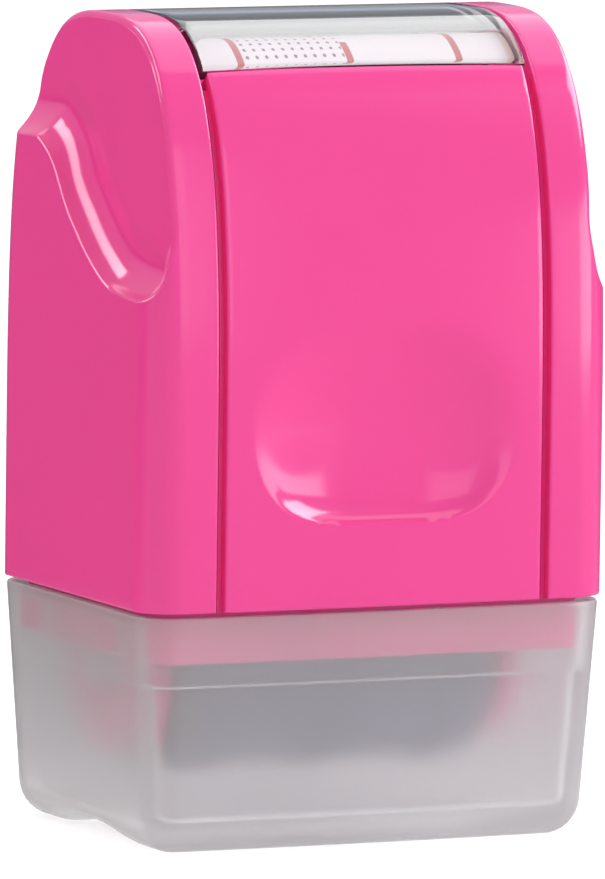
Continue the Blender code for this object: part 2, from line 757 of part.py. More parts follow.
def stamp_sleeve():
    """Printing sleeve: two solid rings and a broken one between them stand proud of it."""
    crest = SLEEVE_RADIUS + LINE_RELIEF
    points = [(-SLEEVE_HALF_LENGTH, SLEEVE_BORE), (-SLEEVE_HALF_LENGTH, SLEEVE_RADIUS)]
    for line in (-LINE_SPACING, 0.0, LINE_SPACING):
        points += [
            (line - LINE_WIDTH / 2 - LINE_DRAFT, SLEEVE_RADIUS),
            (line - LINE_WIDTH / 2, crest),
            (line + LINE_WIDTH / 2, crest),
            (line + LINE_WIDTH / 2 + LINE_DRAFT, SLEEVE_RADIUS),
        ]
    points += [(SLEEVE_HALF_LENGTH, SLEEVE_RADIUS), (SLEEVE_HALF_LENGTH, SLEEVE_BORE)]
    sleeve = turned(points)
    foot = LINE_WIDTH / 2 + LINE_DRAFT * 2
    for step in range(DASH_COUNT):
        gap = block((-foot, foot), (-DASH_GAP_WIDTH / 2, DASH_GAP_WIDTH / 2),
                    (SLEEVE_RADIUS, crest + OVERRUN))
        gap.rotation_euler.x = math.tau * (step + 0.5) / DASH_COUNT
        gap.location.z = AXLE_HEIGHT
        sleeve = cut(sleeve, settle(gap))
    return sleeve


def end_flange():
    """Disc that closes the felt and the sleeve at the right end."""
    bore = CORE_RADIUS + SEAT_GAP
    return turned([
        (FLANGE_INNER_X, bore), (FLANGE_INNER_X, FLANGE_RADIUS),
        (FLANGE_OUTER_X - FLANGE_EDGE, FLANGE_RADIUS),
        (FLANGE_OUTER_X, FLANGE_RADIUS - FLANGE_EDGE), (FLANGE_OUTER_X, bore),
    ])


# Cap

def underside_arch():
    """Cutter that lifts the cap's underside between the front and the rear foot."""
    points = []
    for step in range(SMALL_STEPS + 1):
        share = 2 * step / SMALL_STEPS - 1
        rise = ARCH_UNDER_RISE * (1 + math.cos(math.pi * share)) / 2
        points.append((share * ARCH_UNDER_HALF_SPAN, rise))
    points[0] = (-ARCH_UNDER_HALF_SPAN, -OVERRUN)
    points[-1] = (ARCH_UNDER_HALF_SPAN, -OVERRUN)
    return slab(points, -HALF_WIDTH - OVERRUN, HALF_WIDTH + OVERRUN, "X")


def cap():
    """Drafted cup with a rounded foot, a ledge below the rim and two snap pads a side."""
    above = CAP_RIM + CAP_EDGE_RADIUS + OVERRUN
    form = drafted(plan(CAP_STEP_IN), 0.0, above, CAP_EDGE_RADIUS)
    lid = block((-BODY_WIDTH, BODY_WIDTH), (-BODY_DEPTH, BODY_DEPTH), (CAP_RIM, above * 2))
    form = cut(form, lid, underside_arch())
    low = drafted(plan(CAP_STEP_IN + CAP_WALL), CAP_FLOOR, above, CAP_INNER_EDGE_RADIUS)
    high = drafted(plan(CAP_STEP_IN + CAP_RIM_WALL), CAP_LEDGE, above)
    form = cut(form, low, high)
    pad_top = CAP_RIM - PAD_DROP
    for side in (-1, 1):
        for y in (-PAD_SPREAD, PAD_SPREAD):
            wall = HALF_WIDTH - CAP_STEP_IN - CAP_RIM_WALL - PAD_DROP * DRAFT_SLOPE
            pad = block(sorted((side * (wall - PAD_RISE), side * (wall + CAP_RIM_WALL / 2))),
                        (y - PAD_LENGTH / 2, y + PAD_LENGTH / 2),
                        (pad_top - PAD_HEIGHT, pad_top))
            form = join(form, pad)
    return form


pink = material("glossy pink", PINK, 0.18)
axis_place = (0.0, 0.0, AXLE_HEIGHT)

finish(centre_shell(), "centre_shell", pink)
right_cover = right_side_cover()
finish(mirrored(right_cover), "left_side_cover", pink)
finish(right_cover, "right_side_cover", pink)
finish(window_lens(), "window_lens", material("clear lens", CLEAR, 0.05, alpha=0.35))
finish(label_card(), "label_card", material("label card", PAPER, 0.60))
finish(roller_frame(), "roller_frame", material("frame pink", PINK, 0.30))
screw_steel = material("screw steel", STEEL, 0.35, 1.0)
for side, x in (("left", -POST_SPREAD_X), ("right", POST_SPREAD_X)):
    for end, y in (("front", -POST_SPREAD_Y), ("rear", POST_SPREAD_Y)):
        finish(frame_screw(x, y), f"{side}_{end}_screw", screw_steel)
finish(axle(), "axle", material("axle steel", STEEL, 0.25, 1.0))
clip = axle_clip()
clip_steel = material("clip steel", STEEL, 0.40, 1.0)
finish(mirrored(clip), "left_axle_clip", clip_steel)
finish(clip, "right_axle_clip", clip_steel)

nylon = material("bush nylon", NYLON, 0.45)
flange_plastic = material("flange plastic", DARK_PLASTIC, 0.40)
right_bush = bush()
right_flange = end_flange()
rolling = (
    (mirrored(right_bush), "left_bush", nylon),
    (right_bush, "right_bush", nylon),
    (roller_core(), "roller_core", material("core plastic", NYLON, 0.50)),
    (tube(FELT_HALF_LENGTH, FELT_BORE, FELT_RADIUS), "ink_felt",
     material("inked felt", FELT, 0.95)),
    (stamp_sleeve(), "stamp_sleeve", material("print rubber", PRINT_RUBBER, 0.70)),
    (mirrored(right_flange), "left_end_flange", flange_plastic),
    (right_flange, "right_end_flange", flange_plastic),
)
for form, name, look in rolling:
    set_origin(finish(form, name, look), axis_place)

finish(cap(), "cap", material("frosted cap", FROST, 0.45, alpha=0.55))
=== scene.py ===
import math

import bpy
import numpy as np
from mathutils import Matrix, Vector


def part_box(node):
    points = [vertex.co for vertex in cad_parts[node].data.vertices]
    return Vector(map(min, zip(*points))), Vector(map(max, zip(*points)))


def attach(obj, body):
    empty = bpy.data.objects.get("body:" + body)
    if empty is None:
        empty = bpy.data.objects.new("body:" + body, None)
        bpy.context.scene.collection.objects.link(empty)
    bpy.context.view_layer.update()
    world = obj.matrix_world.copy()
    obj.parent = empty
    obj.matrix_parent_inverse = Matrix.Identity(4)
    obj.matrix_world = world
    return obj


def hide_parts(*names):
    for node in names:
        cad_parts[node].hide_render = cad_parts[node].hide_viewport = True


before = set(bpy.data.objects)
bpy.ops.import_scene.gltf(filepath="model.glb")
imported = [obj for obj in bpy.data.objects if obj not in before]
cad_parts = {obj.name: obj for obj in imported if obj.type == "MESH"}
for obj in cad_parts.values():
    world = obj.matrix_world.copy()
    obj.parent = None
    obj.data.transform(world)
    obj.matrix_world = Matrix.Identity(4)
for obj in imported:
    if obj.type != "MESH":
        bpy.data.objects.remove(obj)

bl_info = {
    "name": "Handwriting line roller stamp",
    "version": (1, 0, 0),
    "blender": (4, 5, 0),
    "location": "3D View > Sidebar > Roller Stamp",
    "description": "Dresses a packed roller stamp: housing, window, frosted cap and studio",
    "category": "Object",
}

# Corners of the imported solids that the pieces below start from
SHELL_LOW, SHELL_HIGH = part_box("centre_shell")
COVER_LOW, COVER_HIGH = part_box("right_side_cover")
CAP_LOW, CAP_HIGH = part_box("cap")
SLEEVE_LOW, SLEEVE_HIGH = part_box("stamp_sleeve")
MM = 0.001
WELD = 0.002 * MM

# Distances between the rows of the centre panel: in the dimple, below it and on the arch
DIMPLE_STEP, PLAIN_STEP, ARCH_STEP = 0.25 * MM, 0.9 * MM, 0.8 * MM
PANEL_ARCH_END = 71.0 * MM
# Distances between the levels of a cheek: round the scoop's lip, below it and above it
SCOOP_STEP, CHEEK_STEP, CREST_STEP = 0.15 * MM, 1.2 * MM, 0.6 * MM
SCOOP_LOW, SCOOP_HIGH = 52.4 * MM, 68.4 * MM
CHEEK_ARCH_END = 76.0 * MM
# The cheek's inside stops at a side limit, which is nearer above the shelf
SIDE_LIMIT, SHELF_LIMIT, SHELF_HEIGHT = 22.8 * MM, 19.6 * MM, 50.0 * MM
CREST_ROUND = 0.7 * MM
# The scoop's wall turns from its steepest lean to a slope back out; the face above leans in
SCOOP_START, SCOOP_END = math.radians(68), math.radians(-8)
LEAN_FROM, SIDE_LEAN = 53.7 * MM, math.radians(1.3)
# Lip of the finger scoop, from the rear to the front: (y, z) in millimetres
LIP = (
    (30.0, 67.1), (13.2, 67.3), (9.3, 67.5), (8.3, 67.1), (6.3, 66.1), (4.6, 64.5),
    (3.1, 62.4), (1.6, 60.7), (-0.2, 59.2), (-2.3, 57.5), (-4.5, 56.0), (-7.7, 54.3),
    (-10.4, 53.8), (-13.9, 53.5), (-16.4, 53.4), (-18.0, 53.9), (-19.0, 55.2),
    (-19.7, 57.2), (-28.0, 68.0),
)
# Thumb dimple: place of its deepest row as a share of its height, then three values, each at
# the upper edge and as the change towards the lower lip
DIMPLE_DEEPEST = 0.46
DIMPLE_SQUARE, DIMPLE_STEEP, DIMPLE_SOFT = (2.2, 1.0), (2.4, 5.6), (0.30, -0.24)
# Snap pads inside the cap: middle, half breadth, lower and upper edge, rise, and wall taken in
PAD_PLACE, PAD_HALF, PAD_LOW, PAD_HIGH = 9.0 * MM, 2.5 * MM, 18.9 * MM, 21.9 * MM
PAD_RISE, PAD_REACH = 0.4 * MM, 1.2 * MM
# The cap's inner rounding, and the height below which its underside is arched
CAP_INNER_ROUND, CAP_ARCHED = 1.2 * MM, 2.6 * MM
# The printed sample: middle line, shifts that place dashes and dots, sizes and soft edge
SAMPLE_MIDDLE, PRINT_EDGE = -0.59 * MM, 0.05 * MM
DASH_SHIFT, DOT_SHIFT, ROW_SHIFT = 30.4 * MM, 40.89 * MM, 40.35 * MM
DASH_LENGTH, DOT_SIZE, DOT_MARGIN = 2.1 * MM, 0.34 * MM, 0.9 * MM
# The card's plain field inside its cream border
FIELD_MIDDLE, FIELD_WIDTH, FIELD_LENGTH = -0.35 * MM, 33.1 * MM, 21.7 * MM
CREAM = (0.90, 0.66, 0.62)
# The lamps and the camera look at the stamp's middle
FOCUS = (0.0, 0.0, 40.0 * MM)
PICTURE_HEIGHT, SENSOR = 879.0, 36.0


def length(name, description, millimetres):
    """A size shown in the sidebar, written in millimetres and kept in metres."""
    return bpy.props.FloatProperty(
        name=name, description=description, default=millimetres * MM,
        subtype="DISTANCE", unit="LENGTH", precision=5,
    )


def colour(name, description, value):
    return bpy.props.FloatVectorProperty(
        name=name, description=description, default=value, size=3, min=0.0, max=1.0,
        subtype="COLOR",
    )


class StampHousingSizes(bpy.types.PropertyGroup):
    """Sizes of the moulded housing."""

    half_width: length("Half width", "Middle plane to a cheek's side", COVER_HIGH.x / MM)
    half_depth: length("Half depth", "Middle plane to the front face", SHELL_HIGH.y / MM)
    base: length("Base", "Height of the housing's lower edge", SHELL_LOW.z / MM)
    top: length("Top", "Height of the arch's crest", COVER_HIGH.z / MM)
    arch_rise: length("Arch rise", "Height of the arch above its springing", 43.1)
    fullness: bpy.props.FloatProperty(
        name="Arch fullness", description="Power of the arch's superellipse", default=3.2,
    )
    corner_radius: length("Corner radius", "Rounding of the upright corners", 4.0)
    crown: length("Face crown", "How far the faces fall back towards the sides", 0.6)
    wall: length("Wall", "Wall of the mouldings", 2.0)
    panel_edge: length("Panel edge", "Middle plane to the centre panel's edge", 16.77)
    panel_ledge: length("Panel ledge", "Middle plane to the end of the panel's ledge", 17.17)
    cheek_ledge: length("Cheek ledge", "Middle plane to the start of a cheek's ledge", 17.23)
    cheek_edge: length("Cheek edge", "Middle plane to a cheek's inner edge", 17.63)
    groove_depth: length("Groove depth", "Depth of the joint grooves", 1.0)
    edge_round: length("Edge rounding", "Rounding of the moulded edges", 0.25)
    dimple_depth: length("Dimple depth", "Deepest place of the thumb dimple", 2.0)
    dimple_width: length("Dimple width", "Width of the thumb dimple", 26.4)
    dimple_top: length("Dimple top", "Height of the dimple's upper edge", 51.4)
    dimple_bottom: length("Dimple bottom", "Height of the dimple's lower lip", 31.6)
    setback: length("Set-back", "How far a cheek's upper face stands back", 2.25)
    lip_round: length("Lip rounding", "Softness of the finger scoop's lip", 0.5)
    scoop_radius: length("Scoop radius", "Radius of the hollow below the lip", 4.0)


class StampWindowSizes(bpy.types.PropertyGroup):
    """Sizes of the label window."""

    half_length: length("Window half length", "Middle to the window's front edge", 13.2)
    lens: length("Lens wall", "Thickness of the clear lens", 1.9)
    card: length("Card", "Thickness of the label card", 0.3)
    gap: length("Gap", "Air between lens, card and bed", 0.3)
    line_spacing: length("Line spacing", "Distance between the printed guide lines", 11.6)
    line_width: length("Line width", "Width of a printed line", 0.72)
    dot_pitch: length("Dot pitch", "Distance between the dots of a row", 1.02)
    dot_rows: length("Dot rows", "Distance between the rows of dots", 0.80)


class StampCapSizes(bpy.types.PropertyGroup):
    """Sizes of the frosted cap."""

    rim: length("Rim", "Height of the cap's rim", CAP_HIGH.z / MM)
    step_in: length("Step in", "How far the rim stands in from the housing", 0.2)
    rim_wall: length("Rim wall", "Wall above the ledge", 1.3)
    wall: length("Wall", "Wall below the ledge", 2.2)
    ledge_drop: length("Ledge drop", "Rim to ledge", 6.8)
    draft: bpy.props.FloatProperty(
        name="Draft", description="Lean of the cap's walls",
        default=math.radians(3.4), subtype="ANGLE",
    )
    edge_radius: length("Foot rounding", "Rounding of the lower edge", 3.4)
    floor: length("Floor", "Thickness of the cap's floor", 3.0)
    under_rise: length("Underside rise", "Height of the arch under the cap", 1.2)
    foot: length("Foot", "Front face to the start of the underside arch", 8.8)


class StampFinishes(bpy.types.PropertyGroup):
    """Colours and gloss."""

    pink: colour("Housing pink", "Colour of the housing's plastic", (0.880, 0.055, 0.303))
    frost: colour("Cap frost", "Colour of the frosted cap", (0.910, 0.880, 0.905))
    lens: colour("Lens", "Tint of the clear lens", (0.960, 0.965, 0.970))
    card: colour("Card", "Colour of the label card", (0.860, 0.800, 0.840))
    line: colour("Printed line", "Colour of the printed guide lines", (0.560, 0.150, 0.160))
    dot: colour("Printed dot", "Colour of the printed dots", (0.280, 0.180, 0.290))
    rubber: colour("Printing rubber", "Colour of the sleeve", (0.070, 0.075, 0.180))
    steel: colour("Steel", "Colour of the steel parts", (0.620, 0.630, 0.650))
    gloss: bpy.props.FloatProperty(
        name="Housing roughness", description="Roughness of the pink plastic",
        default=0.14, min=0.0, max=1.0,
    )


GROUPS = (StampHousingSizes, StampWindowSizes, StampCapSizes, StampFinishes)


def settings():
    scene = bpy.context.scene
    return (scene.stamp_housing, scene.stamp_window, scene.stamp_cap, scene.stamp_finish)


# Modelling helpers

def start_clean():
    """Leaves edit mode and deselects everything."""
    if bpy.context.object and bpy.context.object.mode != "OBJECT":
        bpy.ops.object.mode_set(mode="OBJECT")
    bpy.ops.object.select_all(action="DESELECT")


def laid_grid(name, places, smooth_angle=math.radians(32)):
    """A grid laid over a table of places, with its seams welded and its ends closed."""
    rows, columns = places.shape[:2]
    start_clean()
    bpy.ops.mesh.primitive_grid_add(x_subdivisions=columns - 1, y_subdivisions=rows - 1, size=1.0)
    piece = bpy.context.object
    piece.name = name
    piece.data.name = name
    piece.data.vertices.foreach_set("co", places.astype(np.float32).ravel())
    bpy.ops.object.mode_set(mode="EDIT")
    bpy.ops.mesh.select_all(action="SELECT")
    bpy.ops.mesh.remove_doubles(threshold=WELD)
    bpy.ops.mesh.fill_holes(sides=0)
    bpy.ops.mesh.select_all(action="SELECT")
    bpy.ops.mesh.normals_make_consistent(inside=False)
    bpy.ops.object.mode_set(mode="OBJECT")
    bpy.ops.object.shade_smooth_by_angle(angle=smooth_angle)
    if not piece.data.polygons:
        raise RuntimeError(name + " has no faces")
    return piece


def quarter_turn(steps, first=0):
    """Steps of a quarter circle: how far each has risen, and how far it still has to go."""
    turns = [math.pi / 2 * step / steps for step in range(first, steps + 1)]
    return [(1 - math.cos(turn), 1 - math.sin(turn)) for turn in turns]


def across(columns):
    """Each entry of the columns as a table of one row."""
    return [np.array(values)[None, :] for values in zip(*columns)]


def along(rows):
    """Each entry of the rows as a table of one column."""
    return [np.array(values)[:, None] for values in zip(*rows)]


def mirrored(source, name):
    """The same piece on the other side of the middle plane, with its own mesh."""
    start_clean()
    source.select_set(True)
    bpy.context.view_layer.objects.active = source
    bpy.ops.object.duplicate()
    piece = bpy.context.object
    piece.name = name
    piece.data.name = name
    bpy.ops.object.mode_set(mode="EDIT")
    bpy.ops.mesh.select_all(action="SELECT")
    bpy.ops.transform.resize(value=(-1, 1, 1), center_override=(0, 0, 0))
    bpy.ops.mesh.normals_make_consistent(inside=False)
    bpy.ops.object.mode_set(mode="OBJECT")
    return piece


def dress(piece, look, body, node):
    """Gives a piece its material and body, and hides the imported node that it stands for."""
    piece.data.materials.clear()
    piece.data.materials.append(look)
    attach(piece, body)
    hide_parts(node)


# The housing's outer form, shared by panel, cheeks, lens and card

def face_depth(x, inset):
    """Distance of the front or rear face from the middle at a place across it."""
    h = bpy.context.scene.stamp_housing
    radius = np.maximum(h.corner_radius - inset, 0.3 * MM)
    past = np.clip(np.abs(x) - (h.half_width - inset - radius), 0.0, radius)
    corner = radius - np.sqrt(radius ** 2 - past ** 2)
    return h.half_depth - inset - h.crown * (x / h.half_width) ** 2 - corner


def arch_share(share):
    """The other share of the arch's superellipse: of the rise from the depth, or back."""
    power = bpy.context.scene.stamp_housing.fullness
    return np.clip(1.0 - np.clip(np.abs(share), 0.0, 1.0) ** power, 0.0, 1.0) ** (1.0 / power)


def on_form(x, share, upright, inset, keep=0.0):
    """Places on the housing's form. Share is -1 at the front and 1 at the rear.

    Rows with a height in upright lie on the upright faces, and those with -1 on the arch.
    Places nearer the middle than keep stay at their distance from it.
    """
    h = bpy.context.scene.stamp_housing
    springing = h.top - h.arch_rise
    depth = face_depth(x, inset)
    wanted = share * h.half_depth
    outside = np.sign(share) * (
        keep + (np.abs(wanted) - keep) * (depth - keep) / (h.half_depth - keep)
    )
    y = np.where(np.abs(wanted) <= keep, wanted, outside)
    arch = springing + (h.arch_rise - inset) * arch_share(y / depth)
    z = np.where(upright >= 0, upright, arch)
    return np.stack([x + 0 * y, y, z], axis=-1)


def sink(places, amount):
    """Moves places of the arch inwards, square to the arch."""
    h = bpy.context.scene.stamp_housing
    y = places[..., 1]
    part = np.clip(np.abs(y) / h.half_depth, 0.0, 0.99)
    power = h.fullness
    slope = -np.sign(y) * h.arch_rise / h.half_depth * part ** (power - 1)
    slope = slope * (1.0 - part ** power) ** (1.0 / power - 1.0)
    size = np.sqrt(1.0 + slope ** 2)
    places[..., 1] += amount * slope / size
    places[..., 2] -= amount / size


def on_arch(x, y, inset):
    """Places on the arch over a row of x and a column of y."""
    h, w, _, _ = settings()
    share = y / h.half_depth + 0 * x
    return on_form(x + 0 * y, share, -1 + 0 * share, inset + 0 * share, w.half_length)


def dimple_depth(x, z):
    """How far the thumb dimple sinks below the face."""
    h = bpy.context.scene.stamp_housing
    low, high = h.dimple_bottom, h.dimple_top
    middle = low + (high - low) * DIMPLE_DEEPEST
    tall = np.where(z > middle, high - middle, middle - low)
    u = np.abs(x / (h.dimple_width / 2))
    v = np.abs((z - middle) / tall)
    below = np.clip((middle - z) / tall, 0.0, 1.0)
    square = DIMPLE_SQUARE[0] + DIMPLE_SQUARE[1] * below
    reach = (u ** square + v ** square) ** (1 / square)
    bowl = 1.0 - reach ** (DIMPLE_STEEP[0] + DIMPLE_STEEP[1] * below ** 2)
    soft = DIMPLE_SOFT[0] + DIMPLE_SOFT[1] * below ** 2
    rounded = np.where(
        bowl > soft, bowl, np.where(bowl < -soft, 0.0, (bowl + soft) ** 2 / (4 * soft))
    )
    return h.dimple_depth * rounded


def panel_rows():
    """Rows of the centre panel from the front edge over the arch to the rear edge.

    Each row is (share, upright height or -1, outer inset, drop outside, drop inside).
    """
    h, w, _, _ = settings()
    springing = h.top - h.arch_rise
    r = h.edge_round
    rows = [(-1.0, h.base + r * rise, r * back, 0.0, 0.0) for rise, back in quarter_turn(4)]
    z = h.base + r
    while z < springing:
        z += DIMPLE_STEP if z > h.dimple_bottom - 2 * MM else PLAIN_STEP
        rows.append((-1.0, min(z, springing), 0.0, 0.0, 0.0))
    edge = w.half_length / h.half_depth
    while z < PANEL_ARCH_END:
        z += DIMPLE_STEP if z < h.dimple_top + 2 * MM else ARCH_STEP
        rows.append((-float(arch_share((z - springing) / h.arch_rise)), -1.0, 0.0, 0.0, 0.0))
    last = -rows[-1][0]
    for step in range(1, 9):
        share = last + (edge + r / h.half_depth - last) * step / 8
        rows.append((-share, -1.0, 0.0, 0.0, 0.0))
    bed = w.lens + w.card + 2 * w.gap
    for step, (rise, back) in enumerate(quarter_turn(4, 1), 1):
        rows.append((-edge - r * back / h.half_depth, -1.0, r * rise, 0.0, bed * step / 4))
    rows += [(-edge * (1 - step / 12), -1.0, 0.0, bed, bed) for step in range(13)]
    return rows + [(-row[0], *row[1:]) for row in rows[-2::-1]]


def panel_columns():
    """Columns round the panel's wall: (x, inset, whether it lies inside)."""
    h = bpy.context.scene.stamp_housing
    r = h.edge_round
    right = [(h.panel_ledge, h.groove_depth), (h.panel_edge, h.groove_depth)]
    right += [(h.panel_edge - r * rise, r * back) for rise, back in quarter_turn(4)]
    flat = h.panel_edge - r
    outer = [(-x, i, False) for x, i in right]
    outer += [(-flat * (1 - 2 * step / 96), 0.0, False) for step in range(1, 96)]
    outer += [(x, i, False) for x, i in right[::-1]]
    inside = [(h.panel_ledge * (1 - 2 * step / 24), 0.0, True) for step in range(25)]
    return outer + inside + outer[:1]


def make_centre_panel():
    h, w, _, _ = settings()
    x, column_inset, inside = across(panel_columns())
    share, upright, outer, drop_outside, drop_inside = along(panel_rows())
    dropped = np.where(inside, drop_inside, drop_outside)
    inset = np.where(inside, h.wall, np.maximum(outer, column_inset))
    places = on_form(x + 0 * share, share + 0 * x, upright + 0 * x, inset, w.half_length)
    sunk = np.where(dropped > 0, 0.0, dimple_depth(places[..., 0], places[..., 2]))
    sink(places, dropped)
    places[..., 1] -= np.sign(share) * sunk
    return laid_grid("centre_panel", places)


def smooth_lip():
    """The scoop's lip as a smooth curve: its corners are cut three times."""
    line = np.array(LIP)
    for _ in range(3):
        near = 0.75 * line[:-1] + 0.25 * line[1:]
        far = 0.25 * line[:-1] + 0.75 * line[1:]
        middle = np.stack([near, far], axis=1).reshape(-1, 2)
        line = np.vstack([line[:1], middle, line[-1:]])
    return line * MM


def lip_distance(y, z):
    """Signed distance from the scoop's lip, positive above it."""
    line = smooth_lip()
    points = np.stack([y.ravel(), z.ravel()], axis=-1)
    best = np.full(len(points), 1.0)
    sign = np.ones(len(points))
    for start, end in zip(line[:-1], line[1:]):
        way = end - start
        away = points - start
        share = np.clip(away @ way / float(way @ way), 0.0, 1.0)
        gap = away - share[:, None] * way
        reach = np.sqrt((gap ** 2).sum(axis=1))
        side = way[1] * away[:, 0] - way[0] * away[:, 1]
        closer = reach < best
        best = np.where(closer, reach, best)
        sign = np.where(closer, np.where(side > 0, 1.0, -1.0), sign)
    return (best * sign).reshape(y.shape)


def scoop_table():
    """Depth behind the side face at distances from the lip: a steep wall and a hollow."""
    h = bpy.context.scene.stamp_housing
    gaps, depths = [-10 * MM, 0.0], [-10 * MM * math.tan(SCOOP_START), 0.0]
    for step in range(1, 25):
        turn = SCOOP_START + (SCOOP_END - SCOOP_START) * step / 24
        gaps.append(h.scoop_radius * (math.sin(SCOOP_START) - math.sin(turn)))
        depths.append(h.scoop_radius * (math.cos(turn) - math.cos(SCOOP_START)))
    last_gap, last_depth = gaps[-1], depths[-1]
    run = 2 * (last_depth - h.setback) / math.tan(-SCOOP_END)
    for step in range(1, 13):
        share = step / 12
        gaps.append(last_gap + run * share)
        depths.append(last_depth + (h.setback - last_depth) * (2 * share - share ** 2))
    gaps.append(1.0)
    depths.append(h.setback)
    return np.array(gaps), np.array(depths)


def side_face(y, z):
    """Place of the cheek's side face: plain below the lip, hollowed and set back above it."""
    h = bpy.context.scene.stamp_housing
    gap = lip_distance(y, z)
    gaps, depths = scoop_table()
    depth = np.interp(gap, gaps, depths)
    lean = np.clip(z - LEAN_FROM, 0.0, 1.0) * math.tan(SIDE_LEAN)
    return h.half_width - depth - lean * np.clip(depth / h.setback, 0.0, 1.0)


def smooth_lower(a, b, soft):
    """The lower of two tables, with a rounded turn where they cross."""
    near = np.clip(soft - np.abs(a - b), 0.0, None) / soft
    return np.minimum(a, b) - near ** 2 * soft / 4


def cheek_levels():
    """Levels of a cheek from the base to the crest.

    Each is (upright height or -1, share of the depth, share of the rise, outer inset).
    """
    h = bpy.context.scene.stamp_housing
    springing = h.top - h.arch_rise
    r = h.edge_round
    levels = [(h.base + r * rise, 1.0, 0.0, r * back) for rise, back in quarter_turn(4)]
    z = h.base + r
    while z < springing:
        z += CHEEK_STEP
        levels.append((min(z, springing), 1.0, 0.0, 0.0))
    while z < CHEEK_ARCH_END:
        z += SCOOP_STEP if SCOOP_LOW < z < SCOOP_HIGH else CREST_STEP
        rise = (z - springing) / h.arch_rise
        levels.append((-1.0, float(arch_share(rise)), rise, 0.0))
    last = levels[-1][1]
    for step in range(1, 37):
        depth = last * (1 - step / 36)
        levels.append((-1.0, depth, float(arch_share(depth)), 0.0))
    return levels


def cheek_columns():
    """Columns round a cheek's wall: (x, inset, side share, whether it lies inside)."""
    h = bpy.context.scene.stamp_housing
    r = h.edge_round
    front = [(h.cheek_ledge, h.groove_depth), (h.cheek_edge, h.groove_depth)]
    front += [(h.cheek_edge + r * rise, r * back) for rise, back in quarter_turn(4)]
    start = h.half_width - h.corner_radius
    first = h.cheek_edge + r
    front += [(first + (start - first) * step / 12, 0.0) for step in range(1, 12)]
    front += [(start + h.corner_radius * (1 - back), 0.0) for _, back in quarter_turn(40)]
    sides = [-1 + 2 * step / 140 for step in range(1, 140)]
    outer = [(x, i, -1.0, False) for x, i in front]
    outer += [(h.half_width, 0.0, s, False) for s in sides]
    outer += [(x, i, 1.0, False) for x, i in front[::-1]]
    reach = h.half_width - h.wall
    inner_front = [h.cheek_ledge + (reach - h.cheek_ledge) * step / 12 for step in range(13)]
    inside = [(x, h.wall, 1.0, True) for x in inner_front]
    inside += [(reach, h.wall, -s, True) for s in sides[::6]]
    inside += [(x, h.wall, -1.0, True) for x in inner_front[::-1]]
    return outer + inside + outer[:1]


def make_right_cheek():
    h = bpy.context.scene.stamp_housing
    springing = h.top - h.arch_rise
    x, column_inset, side, inside = across(cheek_columns())
    upright, forward, risen, level_inset = along(cheek_levels())
    inset = np.where(inside, column_inset + 0 * risen, np.maximum(column_inset, level_inset))
    x = x - np.where(inside, 0.0, level_inset * (x > h.half_width - h.corner_radius))

    def lay(extra):
        depth = face_depth(x, np.where(inside, inset, column_inset)) - extra
        depth = depth - np.where(inside, 0.0, level_inset)
        y = side * depth * forward
        rise = h.arch_rise - np.where(inside, inset, column_inset) - extra
        z = np.where(upright >= 0, upright, springing + rise * risen)
        return y, z

    y, z = lay(0.0)
    shelf = np.where(z > SHELF_HEIGHT, SHELF_LIMIT, SIDE_LIMIT)
    limit = np.where(inside, shelf, side_face(y, z))
    near = np.clip(CREST_ROUND - np.clip(limit - x, 0.0, CREST_ROUND), 0.0, CREST_ROUND)
    fallen = CREST_ROUND - np.sqrt(CREST_ROUND ** 2 - near ** 2)
    extra = np.where(inside, 0.0, fallen * risen ** 6)
    y, z = lay(extra)
    shallow = side_face(y, z)
    new_x = np.where(inside, np.minimum(x, limit), smooth_lower(x + 0 * y, shallow, h.lip_round))
    places = np.stack([new_x, y, z], axis=-1)
    return laid_grid("right_cheek", places)


def make_lens():
    """Solid clear lens of even wall, flush with the arch."""
    h, w, _, _ = settings()
    reach, half_length, r = h.panel_ledge - 0.05 * MM, w.half_length - 0.15 * MM, 0.15 * MM
    top = [(-reach + r * rise, r * back, False) for rise, back in quarter_turn(3)]
    flat = [(x, 0.0, False) for x in np.linspace(-reach + r, reach - r, 41)[1:-1]]
    top += flat + [(-x, inset, False) for x, inset, _ in top[::-1]]
    under = [(reach * (1 - 2 * step / 40), 0.0, True) for step in range(41)]
    x, column_inset, below = across(top + under + top[:1])
    end = [(-half_length + r * rise, r * back) for rise, back in quarter_turn(3)]
    rows = [(place, 0.0) for place in np.linspace(-half_length + r, half_length - r, 65)[1:-1]]
    y, lift = along(end + rows + [(-place, lift) for place, lift in end[::-1]])
    places = on_arch(x, y, np.where(below, 0.0, np.maximum(column_inset, lift)))
    sink(places, np.where(below, w.lens, 0.0))
    return laid_grid("clear_lens", places)


def make_card():
    """Thin card under the lens."""
    h, w, _, _ = settings()
    reach, half_length = h.panel_ledge - 0.25 * MM, w.half_length - 0.9 * MM
    columns = [(x, 0) for x in np.linspace(-reach, reach, 33)]
    columns += [(x, 1) for x in np.linspace(reach, -reach, 33)]
    x, below = across(columns + columns[:1])
    y = np.linspace(-half_length, half_length, 41)[:, None]
    places = on_arch(x, y, 0.0)
    sink(places, w.lens + w.gap + below * w.card)
    return laid_grid("label_card_print", places)


# Cap

def cap_plan():
    """A quarter of the housing's plan: places across the front, and shares along the side."""
    h = bpy.context.scene.stamp_housing
    flat = h.half_width - h.corner_radius
    front = [flat * step / 14 for step in range(14)]
    front += [flat + h.corner_radius * (1 - back) for _, back in quarter_turn(10)]
    return front, [step / 10 for step in range(1, 11)]


